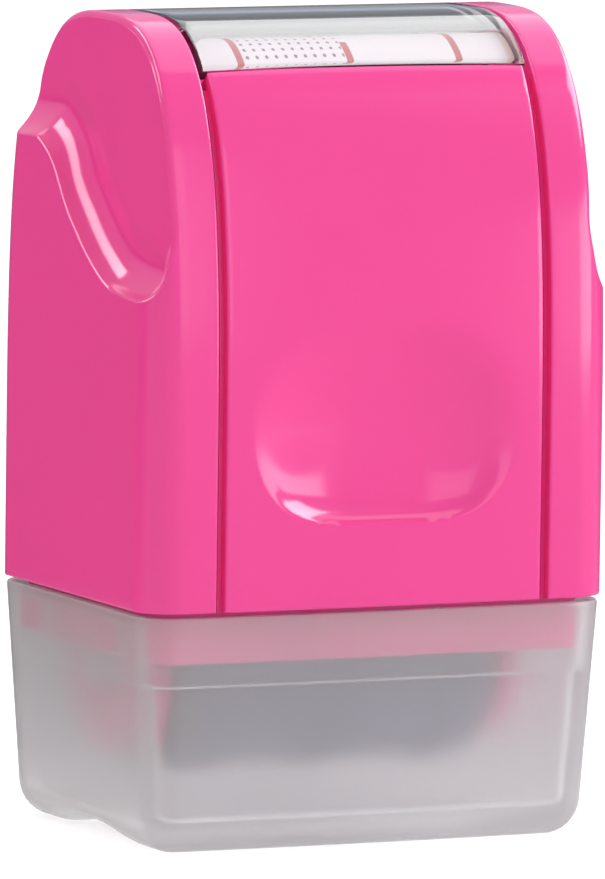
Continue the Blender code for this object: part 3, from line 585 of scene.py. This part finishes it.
def cap_ring(inset, z):
    """One ring of the cap's wall at a height, drafted towards the foot."""
    h, _, c, _ = settings()
    front, sides = cap_plan()
    half = h.half_width - inset
    radius = max(h.corner_radius - inset, 0.3 * MM)
    old_flat = h.half_width - h.corner_radius
    points = []
    for x in front:
        if x <= old_flat:
            place = x * (half - radius) / old_flat
        else:
            place = half - radius + (x - old_flat) * radius / h.corner_radius
        points.append((place, -float(face_depth(np.array(place), inset))))
    last = points[-1][1]
    side = [(half, last * (1 - s)) for s in sides]
    front_right = points + side
    rear_right = [(x, -y) for x, y in front_right[-2::-1]]
    right = front_right + rear_right
    ring = right + [(-x, y) for x, y in right[-2::-1]]
    lean = (c.rim - z) * math.tan(c.draft)
    return np.array([
        (x * (1 - lean / h.half_width), y * (1 - lean / h.half_depth), z) for x, y in ring
    ])


def make_cap():
    h, _, c, _ = settings()
    rows = []
    edge = c.edge_radius
    foot_ring = cap_ring(c.step_in + edge, 0.0)
    for share in np.linspace(0.0, 1.0, 15)[:-1]:
        ring = foot_ring.copy()
        ring[:, :2] *= share
        rows.append(ring)
    rows += [cap_ring(c.step_in + edge * back, edge * rise) for rise, back in quarter_turn(8)]
    ledge = c.rim - c.ledge_drop
    rows += [cap_ring(c.step_in, z) for z in np.linspace(edge, c.rim - 0.8 * MM, 24)[1:]]
    rim_in, wall_in = c.step_in + c.rim_wall, c.step_in + c.wall
    for inset, drop in ((c.step_in, 0.35), (c.step_in + 0.05 * MM, 0.12),
                        (c.step_in + 0.20 * MM, 0.0), (rim_in - 0.25 * MM, 0.0),
                        (rim_in - 0.05 * MM, 0.10), (rim_in, 0.30)):
        rows.append(cap_ring(inset, c.rim - drop * MM))
    rows += [cap_ring(rim_in, z) for z in np.linspace(c.rim - 0.5 * MM, ledge + 0.15 * MM, 26)]
    for inset, drop in ((rim_in + 0.10 * MM, 0.0), (wall_in - 0.15 * MM, 0.0), (wall_in, 0.15)):
        rows.append(cap_ring(inset, ledge - drop * MM))
    inner = CAP_INNER_ROUND
    rows += [cap_ring(wall_in, z) for z in np.linspace(ledge - 0.8 * MM, c.floor + inner, 14)]
    for rise, back in quarter_turn(5, 1):
        rows.append(cap_ring(wall_in + inner * rise, c.floor + inner * back))
    last = rows[-1]
    for share in np.linspace(1.0, 0.0, 7)[1:]:
        ring = last.copy()
        ring[:, :2] *= share
        rows.append(ring)
    places = np.array(rows)
    reach = h.half_depth - c.foot
    y = places[..., 1]
    rise = c.under_rise * (1 + np.cos(math.pi * np.clip(y / reach, -1, 1))) / 2
    low = np.clip(1 - places[..., 2] / CAP_ARCHED, 0.0, 1.0)
    places[..., 2] += rise * low
    add_pads(places)
    return laid_grid("frosted_cap", places)


def add_pads(places):
    """Raises the snap pads on the inside of the cap's left and right walls."""
    h, _, c, _ = settings()
    x, y, z = places[..., 0], places[..., 1], places[..., 2]
    wall = h.half_width - c.step_in - c.rim_wall
    inner = (np.abs(x) < wall + 0.02 * MM) & (np.abs(x) > wall - PAD_REACH)
    on_pad = (np.abs(np.abs(y) - PAD_PLACE) < PAD_HALF) & (z > PAD_LOW) & (z < PAD_HIGH)
    places[..., 0] = np.where(inner & on_pad, x - np.sign(x) * PAD_RISE, x)


# Materials

def value_node(tree, kind, x, y, **options):
    node = tree.nodes.new(kind)
    node.location = (x, y)
    for name, value in options.items():
        setattr(node, name, value)
    return node


def new_look(name):
    """A new material, its node tree and its shader."""
    look = bpy.data.materials.new(name)
    look.use_nodes = True
    return look, look.node_tree, look.node_tree.nodes["Principled BSDF"]


def set_inputs(node, values):
    for name, value in values.items():
        node.inputs[name].default_value = value


def smooth_range(tree, x, y, value, *limits):
    """A smooth step of a value: from its two limits to 0 and 1, or to two other values."""
    node = value_node(tree, "ShaderNodeMapRange", x, y, interpolation_type="SMOOTHSTEP")
    set_inputs(node, dict(zip(("From Min", "From Max", "To Min", "To Max"), limits)))
    tree.links.new(value, node.inputs["Value"])
    return node.outputs["Result"]


def grain_group():
    """Fine unevenness of moulded plastic: a height, and a roughness around a middle value."""
    name = "Moulded grain"
    if name in bpy.data.node_groups:
        return bpy.data.node_groups[name]
    tree = bpy.data.node_groups.new(name, "ShaderNodeTree")
    face = tree.interface
    for label, default in (("Scale", 900.0), ("Roughness", 0.2), ("Variation", 0.04)):
        socket = face.new_socket(name=label, in_out="INPUT", socket_type="NodeSocketFloat")
        socket.default_value = default
    face.new_socket(name="Height", in_out="OUTPUT", socket_type="NodeSocketFloat")
    face.new_socket(name="Roughness", in_out="OUTPUT", socket_type="NodeSocketFloat")
    enter = value_node(tree, "NodeGroupInput", -800, 0)
    leave = value_node(tree, "NodeGroupOutput", 500, 0)
    place = value_node(tree, "ShaderNodeTexCoord", -800, 300)
    fine = value_node(tree, "ShaderNodeTexNoise", -500, 200)
    set_inputs(fine, {"Detail": 4.0})
    slow = value_node(tree, "ShaderNodeTexNoise", -500, -100)
    set_inputs(slow, {"Scale": 120.0, "Detail": 2.0})
    link = tree.links.new
    link(place.outputs["Object"], fine.inputs["Vector"])
    link(place.outputs["Object"], slow.inputs["Vector"])
    link(enter.outputs["Scale"], fine.inputs["Scale"])
    centred = value_node(tree, "ShaderNodeMath", -250, -100, operation="SUBTRACT")
    centred.inputs[1].default_value = 0.5
    spread = value_node(tree, "ShaderNodeMath", -50, -100, operation="MULTIPLY_ADD")
    link(slow.outputs["Fac"], centred.inputs[0])
    link(centred.outputs[0], spread.inputs[0])
    link(enter.outputs["Variation"], spread.inputs[1])
    link(enter.outputs["Roughness"], spread.inputs[2])
    link(fine.outputs["Fac"], leave.inputs["Height"])
    link(spread.outputs[0], leave.inputs["Roughness"])
    return tree


def moulded(name, base, roughness, variation=0.04, scale=900.0, height=0.004, shade=0.03):
    """Moulded plastic with fine grain and a faint change of shade."""
    if name in bpy.data.materials:
        return bpy.data.materials[name]
    look, tree, shader = new_look(name)
    grain = value_node(tree, "ShaderNodeGroup", -500, 0, node_tree=grain_group())
    set_inputs(grain, {"Scale": scale, "Roughness": roughness, "Variation": variation})
    bump = value_node(tree, "ShaderNodeBump", -250, -250)
    set_inputs(bump, {"Strength": 0.5, "Distance": height * MM})
    place = value_node(tree, "ShaderNodeTexCoord", -900, 300)
    cloud = value_node(tree, "ShaderNodeTexNoise", -700, 300)
    cloud.inputs["Scale"].default_value = 45.0
    ramp = value_node(tree, "ShaderNodeValToRGB", -500, 300)
    ramp.color_ramp.elements[0].position = 0.3
    ramp.color_ramp.elements[1].position = 0.7
    ramp.color_ramp.elements[0].color = (*[v * (1 - shade) for v in base], 1.0)
    ramp.color_ramp.elements[1].color = (*[min(v * (1 + shade), 1.0) for v in base], 1.0)
    link = tree.links.new
    link(place.outputs["Object"], cloud.inputs["Vector"])
    link(cloud.outputs["Fac"], ramp.inputs["Fac"])
    link(ramp.outputs["Color"], shader.inputs["Base Color"])
    link(grain.outputs["Roughness"], shader.inputs["Roughness"])
    link(grain.outputs["Height"], bump.inputs["Height"])
    link(bump.outputs["Normal"], shader.inputs["Normal"])
    look.diffuse_color = (*base, 1.0)
    return look


def let_light_through(look, share=1.0):
    """Shadow rays pass a clear or frosted piece, so that what lies behind stays lit."""
    tree = look.node_tree
    shader = tree.nodes["Principled BSDF"]
    out = tree.nodes["Material Output"]
    path = value_node(tree, "ShaderNodeLightPath", 100, 400)
    amount = value_node(tree, "ShaderNodeMath", 300, 400, operation="MULTIPLY")
    amount.inputs[1].default_value = share
    clear = value_node(tree, "ShaderNodeBsdfTransparent", 300, -200)
    mix = value_node(tree, "ShaderNodeMixShader", 500, 0)
    tree.links.new(path.outputs["Is Shadow Ray"], amount.inputs[0])
    tree.links.new(amount.outputs[0], mix.inputs["Fac"])
    tree.links.new(shader.outputs["BSDF"], mix.inputs[1])
    tree.links.new(clear.outputs["BSDF"], mix.inputs[2])
    tree.links.new(mix.outputs["Shader"], out.inputs["Surface"])


def lens_look():
    f = bpy.context.scene.stamp_finish
    look = moulded("Clear lens plastic", tuple(f.lens), 0.02, 0.02, 700.0, 0.0006, 0.0)
    set_inputs(look.node_tree.nodes["Principled BSDF"], {"Transmission Weight": 1.0, "IOR": 1.49})
    let_light_through(look, 0.92)
    return look


def frost_look():
    f = bpy.context.scene.stamp_finish
    look = moulded("Frosted cap plastic", tuple(f.frost), 0.34, 0.05, 2600.0, 0.005, 0.02)
    set_inputs(look.node_tree.nodes["Principled BSDF"], {
        "Transmission Weight": 0.82, "IOR": 1.33, "Coat Weight": 0.4, "Coat Roughness": 0.16,
    })
    let_light_through(look, 0.7)
    return look


def band_mask(tree, value, centre, width, x, y):
    """1 within a band around a value and 0 outside it."""
    off = value_node(tree, "ShaderNodeMath", x, y, operation="SUBTRACT")
    off.inputs[1].default_value = centre
    size = value_node(tree, "ShaderNodeMath", x + 160, y, operation="ABSOLUTE")
    tree.links.new(value, off.inputs[0])
    tree.links.new(off.outputs[0], size.inputs[0])
    return smooth_range(tree, x + 320, y, size.outputs[0],
                        width / 2 + PRINT_EDGE, width / 2 - PRINT_EDGE)


def folded(tree, value, shift, half, y):
    """A value moved along and folded to and fro, which repeats a mark at twice the half."""
    moved = value_node(tree, "ShaderNodeMath", -1650, y, operation="ADD")
    moved.inputs[1].default_value = shift
    fold = value_node(tree, "ShaderNodeMath", -1500, y, operation="PINGPONG")
    fold.inputs[1].default_value = half
    tree.links.new(value, moved.inputs[0])
    tree.links.new(moved.outputs[0], fold.inputs[0])
    return fold.outputs[0]


def both(tree, first, second, x, y, operation="MULTIPLY"):
    node = value_node(tree, "ShaderNodeMath", x, y, operation=operation)
    tree.links.new(first, node.inputs[0])
    tree.links.new(second, node.inputs[1])
    return node.outputs[0]


def card_look():
    """Card with the printed sample: two solid lines, a dashed middle line and rows of dots."""
    _, w, _, f = settings()
    look, tree, shader = new_look("Printed label card")
    place = value_node(tree, "ShaderNodeTexCoord", -2000, 0)
    split = value_node(tree, "ShaderNodeSeparateXYZ", -1800, 0)
    link = tree.links.new
    link(place.outputs["Object"], split.inputs[0])
    x, y = split.outputs["X"], split.outputs["Y"]
    left, centre, right = (
        band_mask(tree, x, SAMPLE_MIDDLE + side * w.line_spacing, w.line_width, -1500, level)
        for side, level in ((-1, 500), (0, 100), (1, 300))
    )
    dash = folded(tree, y, DASH_SHIFT, DASH_LENGTH, -100)
    dashes = band_mask(tree, dash, 0.0, DASH_LENGTH, -1300, -100)
    lines = both(tree, both(tree, left, right, -700, 400, "MAXIMUM"),
                 both(tree, centre, dashes, -700, 100), -500, 300, "MAXIMUM")
    flat = value_node(tree, "ShaderNodeCombineXYZ", -1300, -400)
    link(folded(tree, x, DOT_SHIFT, w.dot_pitch / 2, -300), flat.inputs[0])
    link(folded(tree, y, ROW_SHIFT, w.dot_rows / 2, -500), flat.inputs[1])
    reach = value_node(tree, "ShaderNodeVectorMath", -1150, -400, operation="LENGTH")
    link(flat.outputs[0], reach.inputs[0])
    spots = band_mask(tree, reach.outputs["Value"], 0.0, DOT_SIZE, -1000, -400)
    rows = band_mask(tree, x, SAMPLE_MIDDLE - w.line_spacing / 2, w.line_spacing - DOT_MARGIN,
                     -1500, -700)
    dots = both(tree, spots, rows, -500, -400)
    field = both(tree, band_mask(tree, x, FIELD_MIDDLE, FIELD_WIDTH, -1500, -900),
                 band_mask(tree, y, 0.0, FIELD_LENGTH, -1500, -1100), -700, -900)
    last = None
    for number, (mask, tint) in enumerate(((field, f.card), (dots, f.dot), (lines, f.line))):
        mix = value_node(tree, "ShaderNodeMix", -300 + 180 * number, 200, data_type="RGBA")
        set_inputs(mix, {"A": (*CREAM, 1.0), "B": (*tint, 1.0)})
        if last:
            link(last, mix.inputs["A"])
        link(mask, mix.inputs["Factor"])
        last = mix.outputs["Result"]
    link(last, shader.inputs["Base Color"])
    paper = value_node(tree, "ShaderNodeTexNoise", -900, 800)
    paper.inputs["Scale"].default_value = 1500.0
    link(place.outputs["Object"], paper.inputs["Vector"])
    bump = value_node(tree, "ShaderNodeBump", 200, -300)
    set_inputs(bump, {"Strength": 0.3, "Distance": 0.004 * MM})
    link(paper.outputs["Fac"], bump.inputs["Height"])
    link(bump.outputs["Normal"], shader.inputs["Normal"])
    shader.inputs["Roughness"].default_value = 0.55
    look.diffuse_color = (*tuple(f.card), 1.0)
    return look


def steel_look():
    f = bpy.context.scene.stamp_finish
    look = moulded("Turned steel", tuple(f.steel), 0.32, 0.10, 4000.0, 0.003, 0.04)
    look.node_tree.nodes["Principled BSDF"].inputs["Metallic"].default_value = 1.0
    return look


def pink_look():
    f = bpy.context.scene.stamp_finish
    return moulded("Glossy pink plastic", tuple(f.pink), f.gloss, 0.04, 700.0, 0.0012, 0.015)


# Operators

class STAMP_OT_centre_panel(bpy.types.Operator):
    """Model the panel between the grooves, with its dimples and the window's bed"""

    bl_idname = "stamp.centre_panel"
    bl_label = "Centre panel"

    def execute(self, context):
        dress(make_centre_panel(), pink_look(), "housing", "centre_shell")
        return {"FINISHED"}


class STAMP_OT_cheeks(bpy.types.Operator):
    """Model the two cheeks with their finger scoops"""

    bl_idname = "stamp.cheeks"
    bl_label = "Cheeks"

    def execute(self, context):
        right = make_right_cheek()
        left = mirrored(right, "left_cheek")
        dress(right, pink_look(), "housing", "right_side_cover")
        dress(left, pink_look(), "housing", "left_side_cover")
        return {"FINISHED"}


class STAMP_OT_window(bpy.types.Operator):
    """Model the clear lens and the printed card under it"""

    bl_idname = "stamp.window"
    bl_label = "Window and card"

    def execute(self, context):
        dress(make_lens(), lens_look(), "housing", "window_lens")
        dress(make_card(), card_look(), "housing", "label_card")
        return {"FINISHED"}


class STAMP_OT_cap(bpy.types.Operator):
    """Model the frosted cap"""

    bl_idname = "stamp.cap"
    bl_label = "Frosted cap"

    def execute(self, context):
        dress(make_cap(), frost_look(), "cap", "cap")
        return {"FINISHED"}


class STAMP_OT_mechanism(bpy.types.Operator):
    """Give the roller, its frame and the small parts their finishes"""

    bl_idname = "stamp.mechanism"
    bl_label = "Roller and small parts"

    def execute(self, context):
        f = context.scene.stamp_finish
        groups = (
            (moulded("Satin pink plastic", tuple(f.pink), 0.30), ("roller_frame",)),
            (moulded("Inked printing rubber", tuple(f.rubber), 0.55, 0.1, 2500.0, 0.02, 0.12),
             ("stamp_sleeve",)),
            (moulded("Inked felt", (0.05, 0.04, 0.10), 0.95, 0.05, 5000.0, 0.08, 0.2),
             ("ink_felt",)),
            (moulded("Natural nylon", (0.80, 0.79, 0.74), 0.45),
             ("roller_core", "left_bush", "right_bush")),
            (moulded("Black plastic", (0.035, 0.035, 0.045), 0.40),
             ("left_end_flange", "right_end_flange")),
            (steel_look(), ("left_front_screw", "left_rear_screw", "right_front_screw",
                            "right_rear_screw", "axle", "left_axle_clip", "right_axle_clip")),
        )
        for look, names in groups:
            for name in names:
                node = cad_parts[name]
                node.data.materials.clear()
                node.data.materials.append(look)
        return {"FINISHED"}


def add_lamp(name, place, aim, size, power, tint=(1.0, 1.0, 1.0)):
    """A soft square lamp that looks at a place."""
    start_clean()
    bpy.ops.object.light_add(type="AREA", location=place)
    lamp = bpy.context.object
    lamp.name = name
    lamp.data.shape = "RECTANGLE"
    lamp.data.size, lamp.data.size_y = size
    lamp.data.energy = power
    lamp.data.color = tint
    way = Vector(aim) - Vector(place)
    lamp.rotation_euler = way.to_track_quat("-Z", "Y").to_euler()
    lamp.visible_glossy = False
    lamp.visible_transmission = False
    return lamp


def add_reflected_card(name, place, aim, size, level):
    """A bright studio card that only reflections show. Level is its brightness."""
    card = add_lamp(name, place, aim, size, level * math.pi * size[0] * size[1])
    card.visible_glossy = True
    card.visible_diffuse = False
    card.visible_camera = False


def ahead_of(turn, tilt, distance):
    """A place seen from the object at a turn to the right of its front and a tilt up."""
    turn, tilt = math.radians(turn), math.radians(tilt)
    return (distance * math.sin(turn) * math.cos(tilt),
            -distance * math.cos(turn) * math.cos(tilt),
            FOCUS[2] + distance * math.sin(tilt))


def photo_camera():
    """The camera that was fitted to the photograph."""
    turn, tilt, roll = math.radians(24.88), math.radians(6.18), math.radians(0.77)
    distance, focal = 1192.0 * MM, 12217.0
    beside, above_centre = 0.65, 22.75
    ahead = Vector((math.sin(turn) * math.cos(tilt), math.cos(turn) * math.cos(tilt),
                    -math.sin(tilt)))
    right = Vector((math.cos(turn), -math.sin(turn), 0.0))
    up = right.cross(ahead)
    level_right = right * math.cos(roll) + up * math.sin(roll)
    level_up = up * math.cos(roll) - right * math.sin(roll)
    place = Vector(FOCUS) - ahead * distance
    aim = (ahead - level_right * (beside / focal) - level_up * (above_centre / focal)).normalized()
    side = (level_right - aim * level_right.dot(aim)).normalized()
    above = side.cross(aim)
    axes = Matrix((side, above, -aim)).transposed().to_4x4()
    start_clean()
    bpy.ops.object.camera_add()
    camera = bpy.context.object
    camera.matrix_world = Matrix.Translation(place) @ axes
    camera.data.sensor_fit = "AUTO"
    camera.data.sensor_width = SENSOR
    camera.data.lens = focal * SENSOR / PICTURE_HEIGHT
    camera.data.clip_start = 0.05
    camera.data.clip_end = 20.0
    bpy.context.scene.camera = camera


def world_look():
    """White for the camera, and a soft studio sky for reflections and shade."""
    world = bpy.data.worlds.new("Studio")
    bpy.context.scene.world = world
    world.use_nodes = True
    tree = world.node_tree
    tree.nodes.clear()
    out = value_node(tree, "ShaderNodeOutputWorld", 900, 0)
    place = value_node(tree, "ShaderNodeTexCoord", -900, 0)
    split = value_node(tree, "ShaderNodeSeparateXYZ", -700, 0)
    link = tree.links.new
    link(place.outputs["Generated"], split.inputs[0])
    rear = value_node(tree, "ShaderNodeValToRGB", -400, 300)
    rear.color_ramp.elements[0].position = 0.05
    rear.color_ramp.elements[0].color = (0.08, 0.055, 0.065, 1.0)
    rear.color_ramp.elements[1].position = 0.34
    rear.color_ramp.elements[1].color = (0.64, 0.65, 0.69, 1.0)
    bluish = rear.color_ramp.elements.new(0.12)
    bluish.color = (0.46, 0.52, 0.66, 1.0)
    link(split.outputs["Z"], rear.inputs["Fac"])
    round_about = value_node(tree, "ShaderNodeMix", -100, 200, data_type="RGBA")
    round_about.inputs["A"].default_value = (0.80, 0.80, 0.82, 1.0)
    link(smooth_range(tree, -400, 0, split.outputs["Y"], -0.3, 0.3), round_about.inputs["Factor"])
    link(rear.outputs["Color"], round_about.inputs["B"])
    glossy = value_node(tree, "ShaderNodeBackground", 100, 200)
    soft = value_node(tree, "ShaderNodeBackground", 100, 0)
    through = value_node(tree, "ShaderNodeBackground", 100, -200)
    white = value_node(tree, "ShaderNodeBackground", 100, 400)
    for sky in (soft, through, white):
        sky.inputs["Color"].default_value = (1.0, 1.0, 1.0, 1.0)
    soft.inputs["Strength"].default_value = 0.45
    link(round_about.outputs["Result"], glossy.inputs["Color"])
    ceiling = smooth_range(tree, -400, -300, split.outputs["Z"], 0.0, 0.1, 0.92, 0.58)
    link(ceiling, through.inputs["Strength"])
    path = value_node(tree, "ShaderNodeLightPath", 100, 700)
    last = soft
    for number, (kind, sky) in enumerate((("Is Glossy Ray", glossy),
                                          ("Is Transmission Ray", through),
                                          ("Is Camera Ray", white))):
        mix = value_node(tree, "ShaderNodeMixShader", 300 + 180 * number, 0)
        link(path.outputs[kind], mix.inputs["Fac"])
        link(last.outputs[0], mix.inputs[1])
        link(sky.outputs[0], mix.inputs[2])
        last = mix
    link(last.outputs[0], out.inputs["Surface"])


def floor_look():
    """Pale glossy floor that shows white and keeps the object's shadow. Reflections see it as a
    painted glow instead, bright in front and painted darker towards the rear.
    """
    look, tree, shader = new_look("Pale floor")
    set_inputs(shader, {
        "Base Color": (0.96, 0.96, 0.96, 1.0), "Roughness": 0.16,
        "Emission Color": (1.0, 1.0, 1.0, 1.0),
    })
    place = value_node(tree, "ShaderNodeTexCoord", -900, -300)
    split = value_node(tree, "ShaderNodeSeparateXYZ", -700, -300)
    painted_reflection_glow = value_node(tree, "ShaderNodeEmission", -100, -300)
    path = value_node(tree, "ShaderNodeLightPath", -900, 400)
    seen = value_node(tree, "ShaderNodeMath", -500, 300, operation="MAXIMUM")
    glow = value_node(tree, "ShaderNodeMath", -300, 200, operation="MULTIPLY")
    glow.inputs[1].default_value = 0.47
    mix = value_node(tree, "ShaderNodeMixShader", 400, 0)
    out = tree.nodes["Material Output"]
    out.location = (600, 0)
    link = tree.links.new
    link(place.outputs["Object"], split.inputs[0])
    # Painted reflection: glossy rays see the floor glow at 0.85 in front, falling to 0.16 at the
    # rear as painted shade
    painted_rear_shade = smooth_range(tree, -500, -300, split.outputs["Y"], -0.05, 0.15, 0.85, 0.16)
    link(painted_rear_shade, painted_reflection_glow.inputs["Strength"])
    link(path.outputs["Is Camera Ray"], seen.inputs[0])
    link(path.outputs["Is Transmission Ray"], seen.inputs[1])
    link(seen.outputs[0], glow.inputs[0])
    link(glow.outputs[0], shader.inputs["Emission Strength"])
    link(path.outputs["Is Glossy Ray"], mix.inputs["Fac"])
    link(shader.outputs["BSDF"], mix.inputs[1])
    link(painted_reflection_glow.outputs[0], mix.inputs[2])
    link(mix.outputs[0], out.inputs["Surface"])
    return look


class STAMP_OT_stage(bpy.types.Operator):
    """Set up the floor, the lamps, the sky and the camera"""

    bl_idname = "stamp.stage"
    bl_label = "Studio"

    def execute(self, context):
        start_clean()
        bpy.ops.mesh.primitive_plane_add(size=4.0, location=(0.0, 0.0, 0.0))
        floor = context.object
        floor.name = "floor"
        floor.data.materials.append(floor_look())
        add_lamp("key_lamp", (2.10, -1.80, 1.86), FOCUS, (1.5, 1.5), 59.0)
        add_lamp("left_lamp", (-2.36, 0.10, 1.65), FOCUS, (1.05, 1.05), 15.5,
                 (1.0, 0.98, 0.84))
        add_lamp("top_lamp", (0.0, 1.05, 2.55), FOCUS, (2.7, 1.8), 36.0)
        add_reflected_card("overhead_card", (0.5, 0.45, 0.85), (0.5, 0.451, 0.0), (1.3, 1.55), 1.6)
        add_reflected_card("right_card", ahead_of(49, 1, 0.6), FOCUS, (0.36, 0.20), 4.6)
        add_reflected_card("high_right_card", ahead_of(79, 34, 0.6), FOCUS, (0.50, 0.29), 10.0)
        add_reflected_card("front_card", ahead_of(7, 13, 0.9), FOCUS, (0.38, 0.48), 1.3)
        add_reflected_card("left_card", (-0.46, 0.21, 0.48), FOCUS, (0.70, 0.20), 8.0)
        photo_camera()
        world_look()
        scene = context.scene
        scene.view_settings.view_transform = "Standard"
        return {"FINISHED"}


class STAMP_PT_panel(bpy.types.Panel):
    """Sidebar panel with the stamp's sizes, finishes and steps"""

    bl_idname = "STAMP_PT_panel"
    bl_label = "Roller Stamp"
    bl_space_type = "VIEW_3D"
    bl_region_type = "UI"
    bl_category = "Roller Stamp"

    def draw(self, context):
        scene = context.scene
        for group in (scene.stamp_housing, scene.stamp_window, scene.stamp_cap,
                      scene.stamp_finish):
            box = self.layout.box()
            for name in group.__annotations__:
                box.prop(group, name)
        for step in STEPS:
            self.layout.operator(step.bl_idname)


STEPS = (
    STAMP_OT_centre_panel, STAMP_OT_cheeks, STAMP_OT_window, STAMP_OT_cap,
    STAMP_OT_mechanism, STAMP_OT_stage,
)


def register():
    for entry in (*GROUPS, *STEPS, STAMP_PT_panel):
        bpy.utils.register_class(entry)
    kind = bpy.types.Scene
    kind.stamp_housing = bpy.props.PointerProperty(type=StampHousingSizes)
    kind.stamp_window = bpy.props.PointerProperty(type=StampWindowSizes)
    kind.stamp_cap = bpy.props.PointerProperty(type=StampCapSizes)
    kind.stamp_finish = bpy.props.PointerProperty(type=StampFinishes)


def unregister():
    kind = bpy.types.Scene
    del kind.stamp_housing, kind.stamp_window, kind.stamp_cap, kind.stamp_finish
    for entry in (STAMP_PT_panel, *STEPS[::-1], *GROUPS[::-1]):
        bpy.utils.unregister_class(entry)


def main():
    register()
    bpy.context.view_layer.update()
    bpy.ops.stamp.centre_panel()
    bpy.ops.stamp.cheeks()
    bpy.ops.stamp.window()
    bpy.ops.stamp.cap()
    bpy.ops.stamp.mechanism()
    bpy.ops.stamp.stage()


if __name__ == "__main__":
    main()
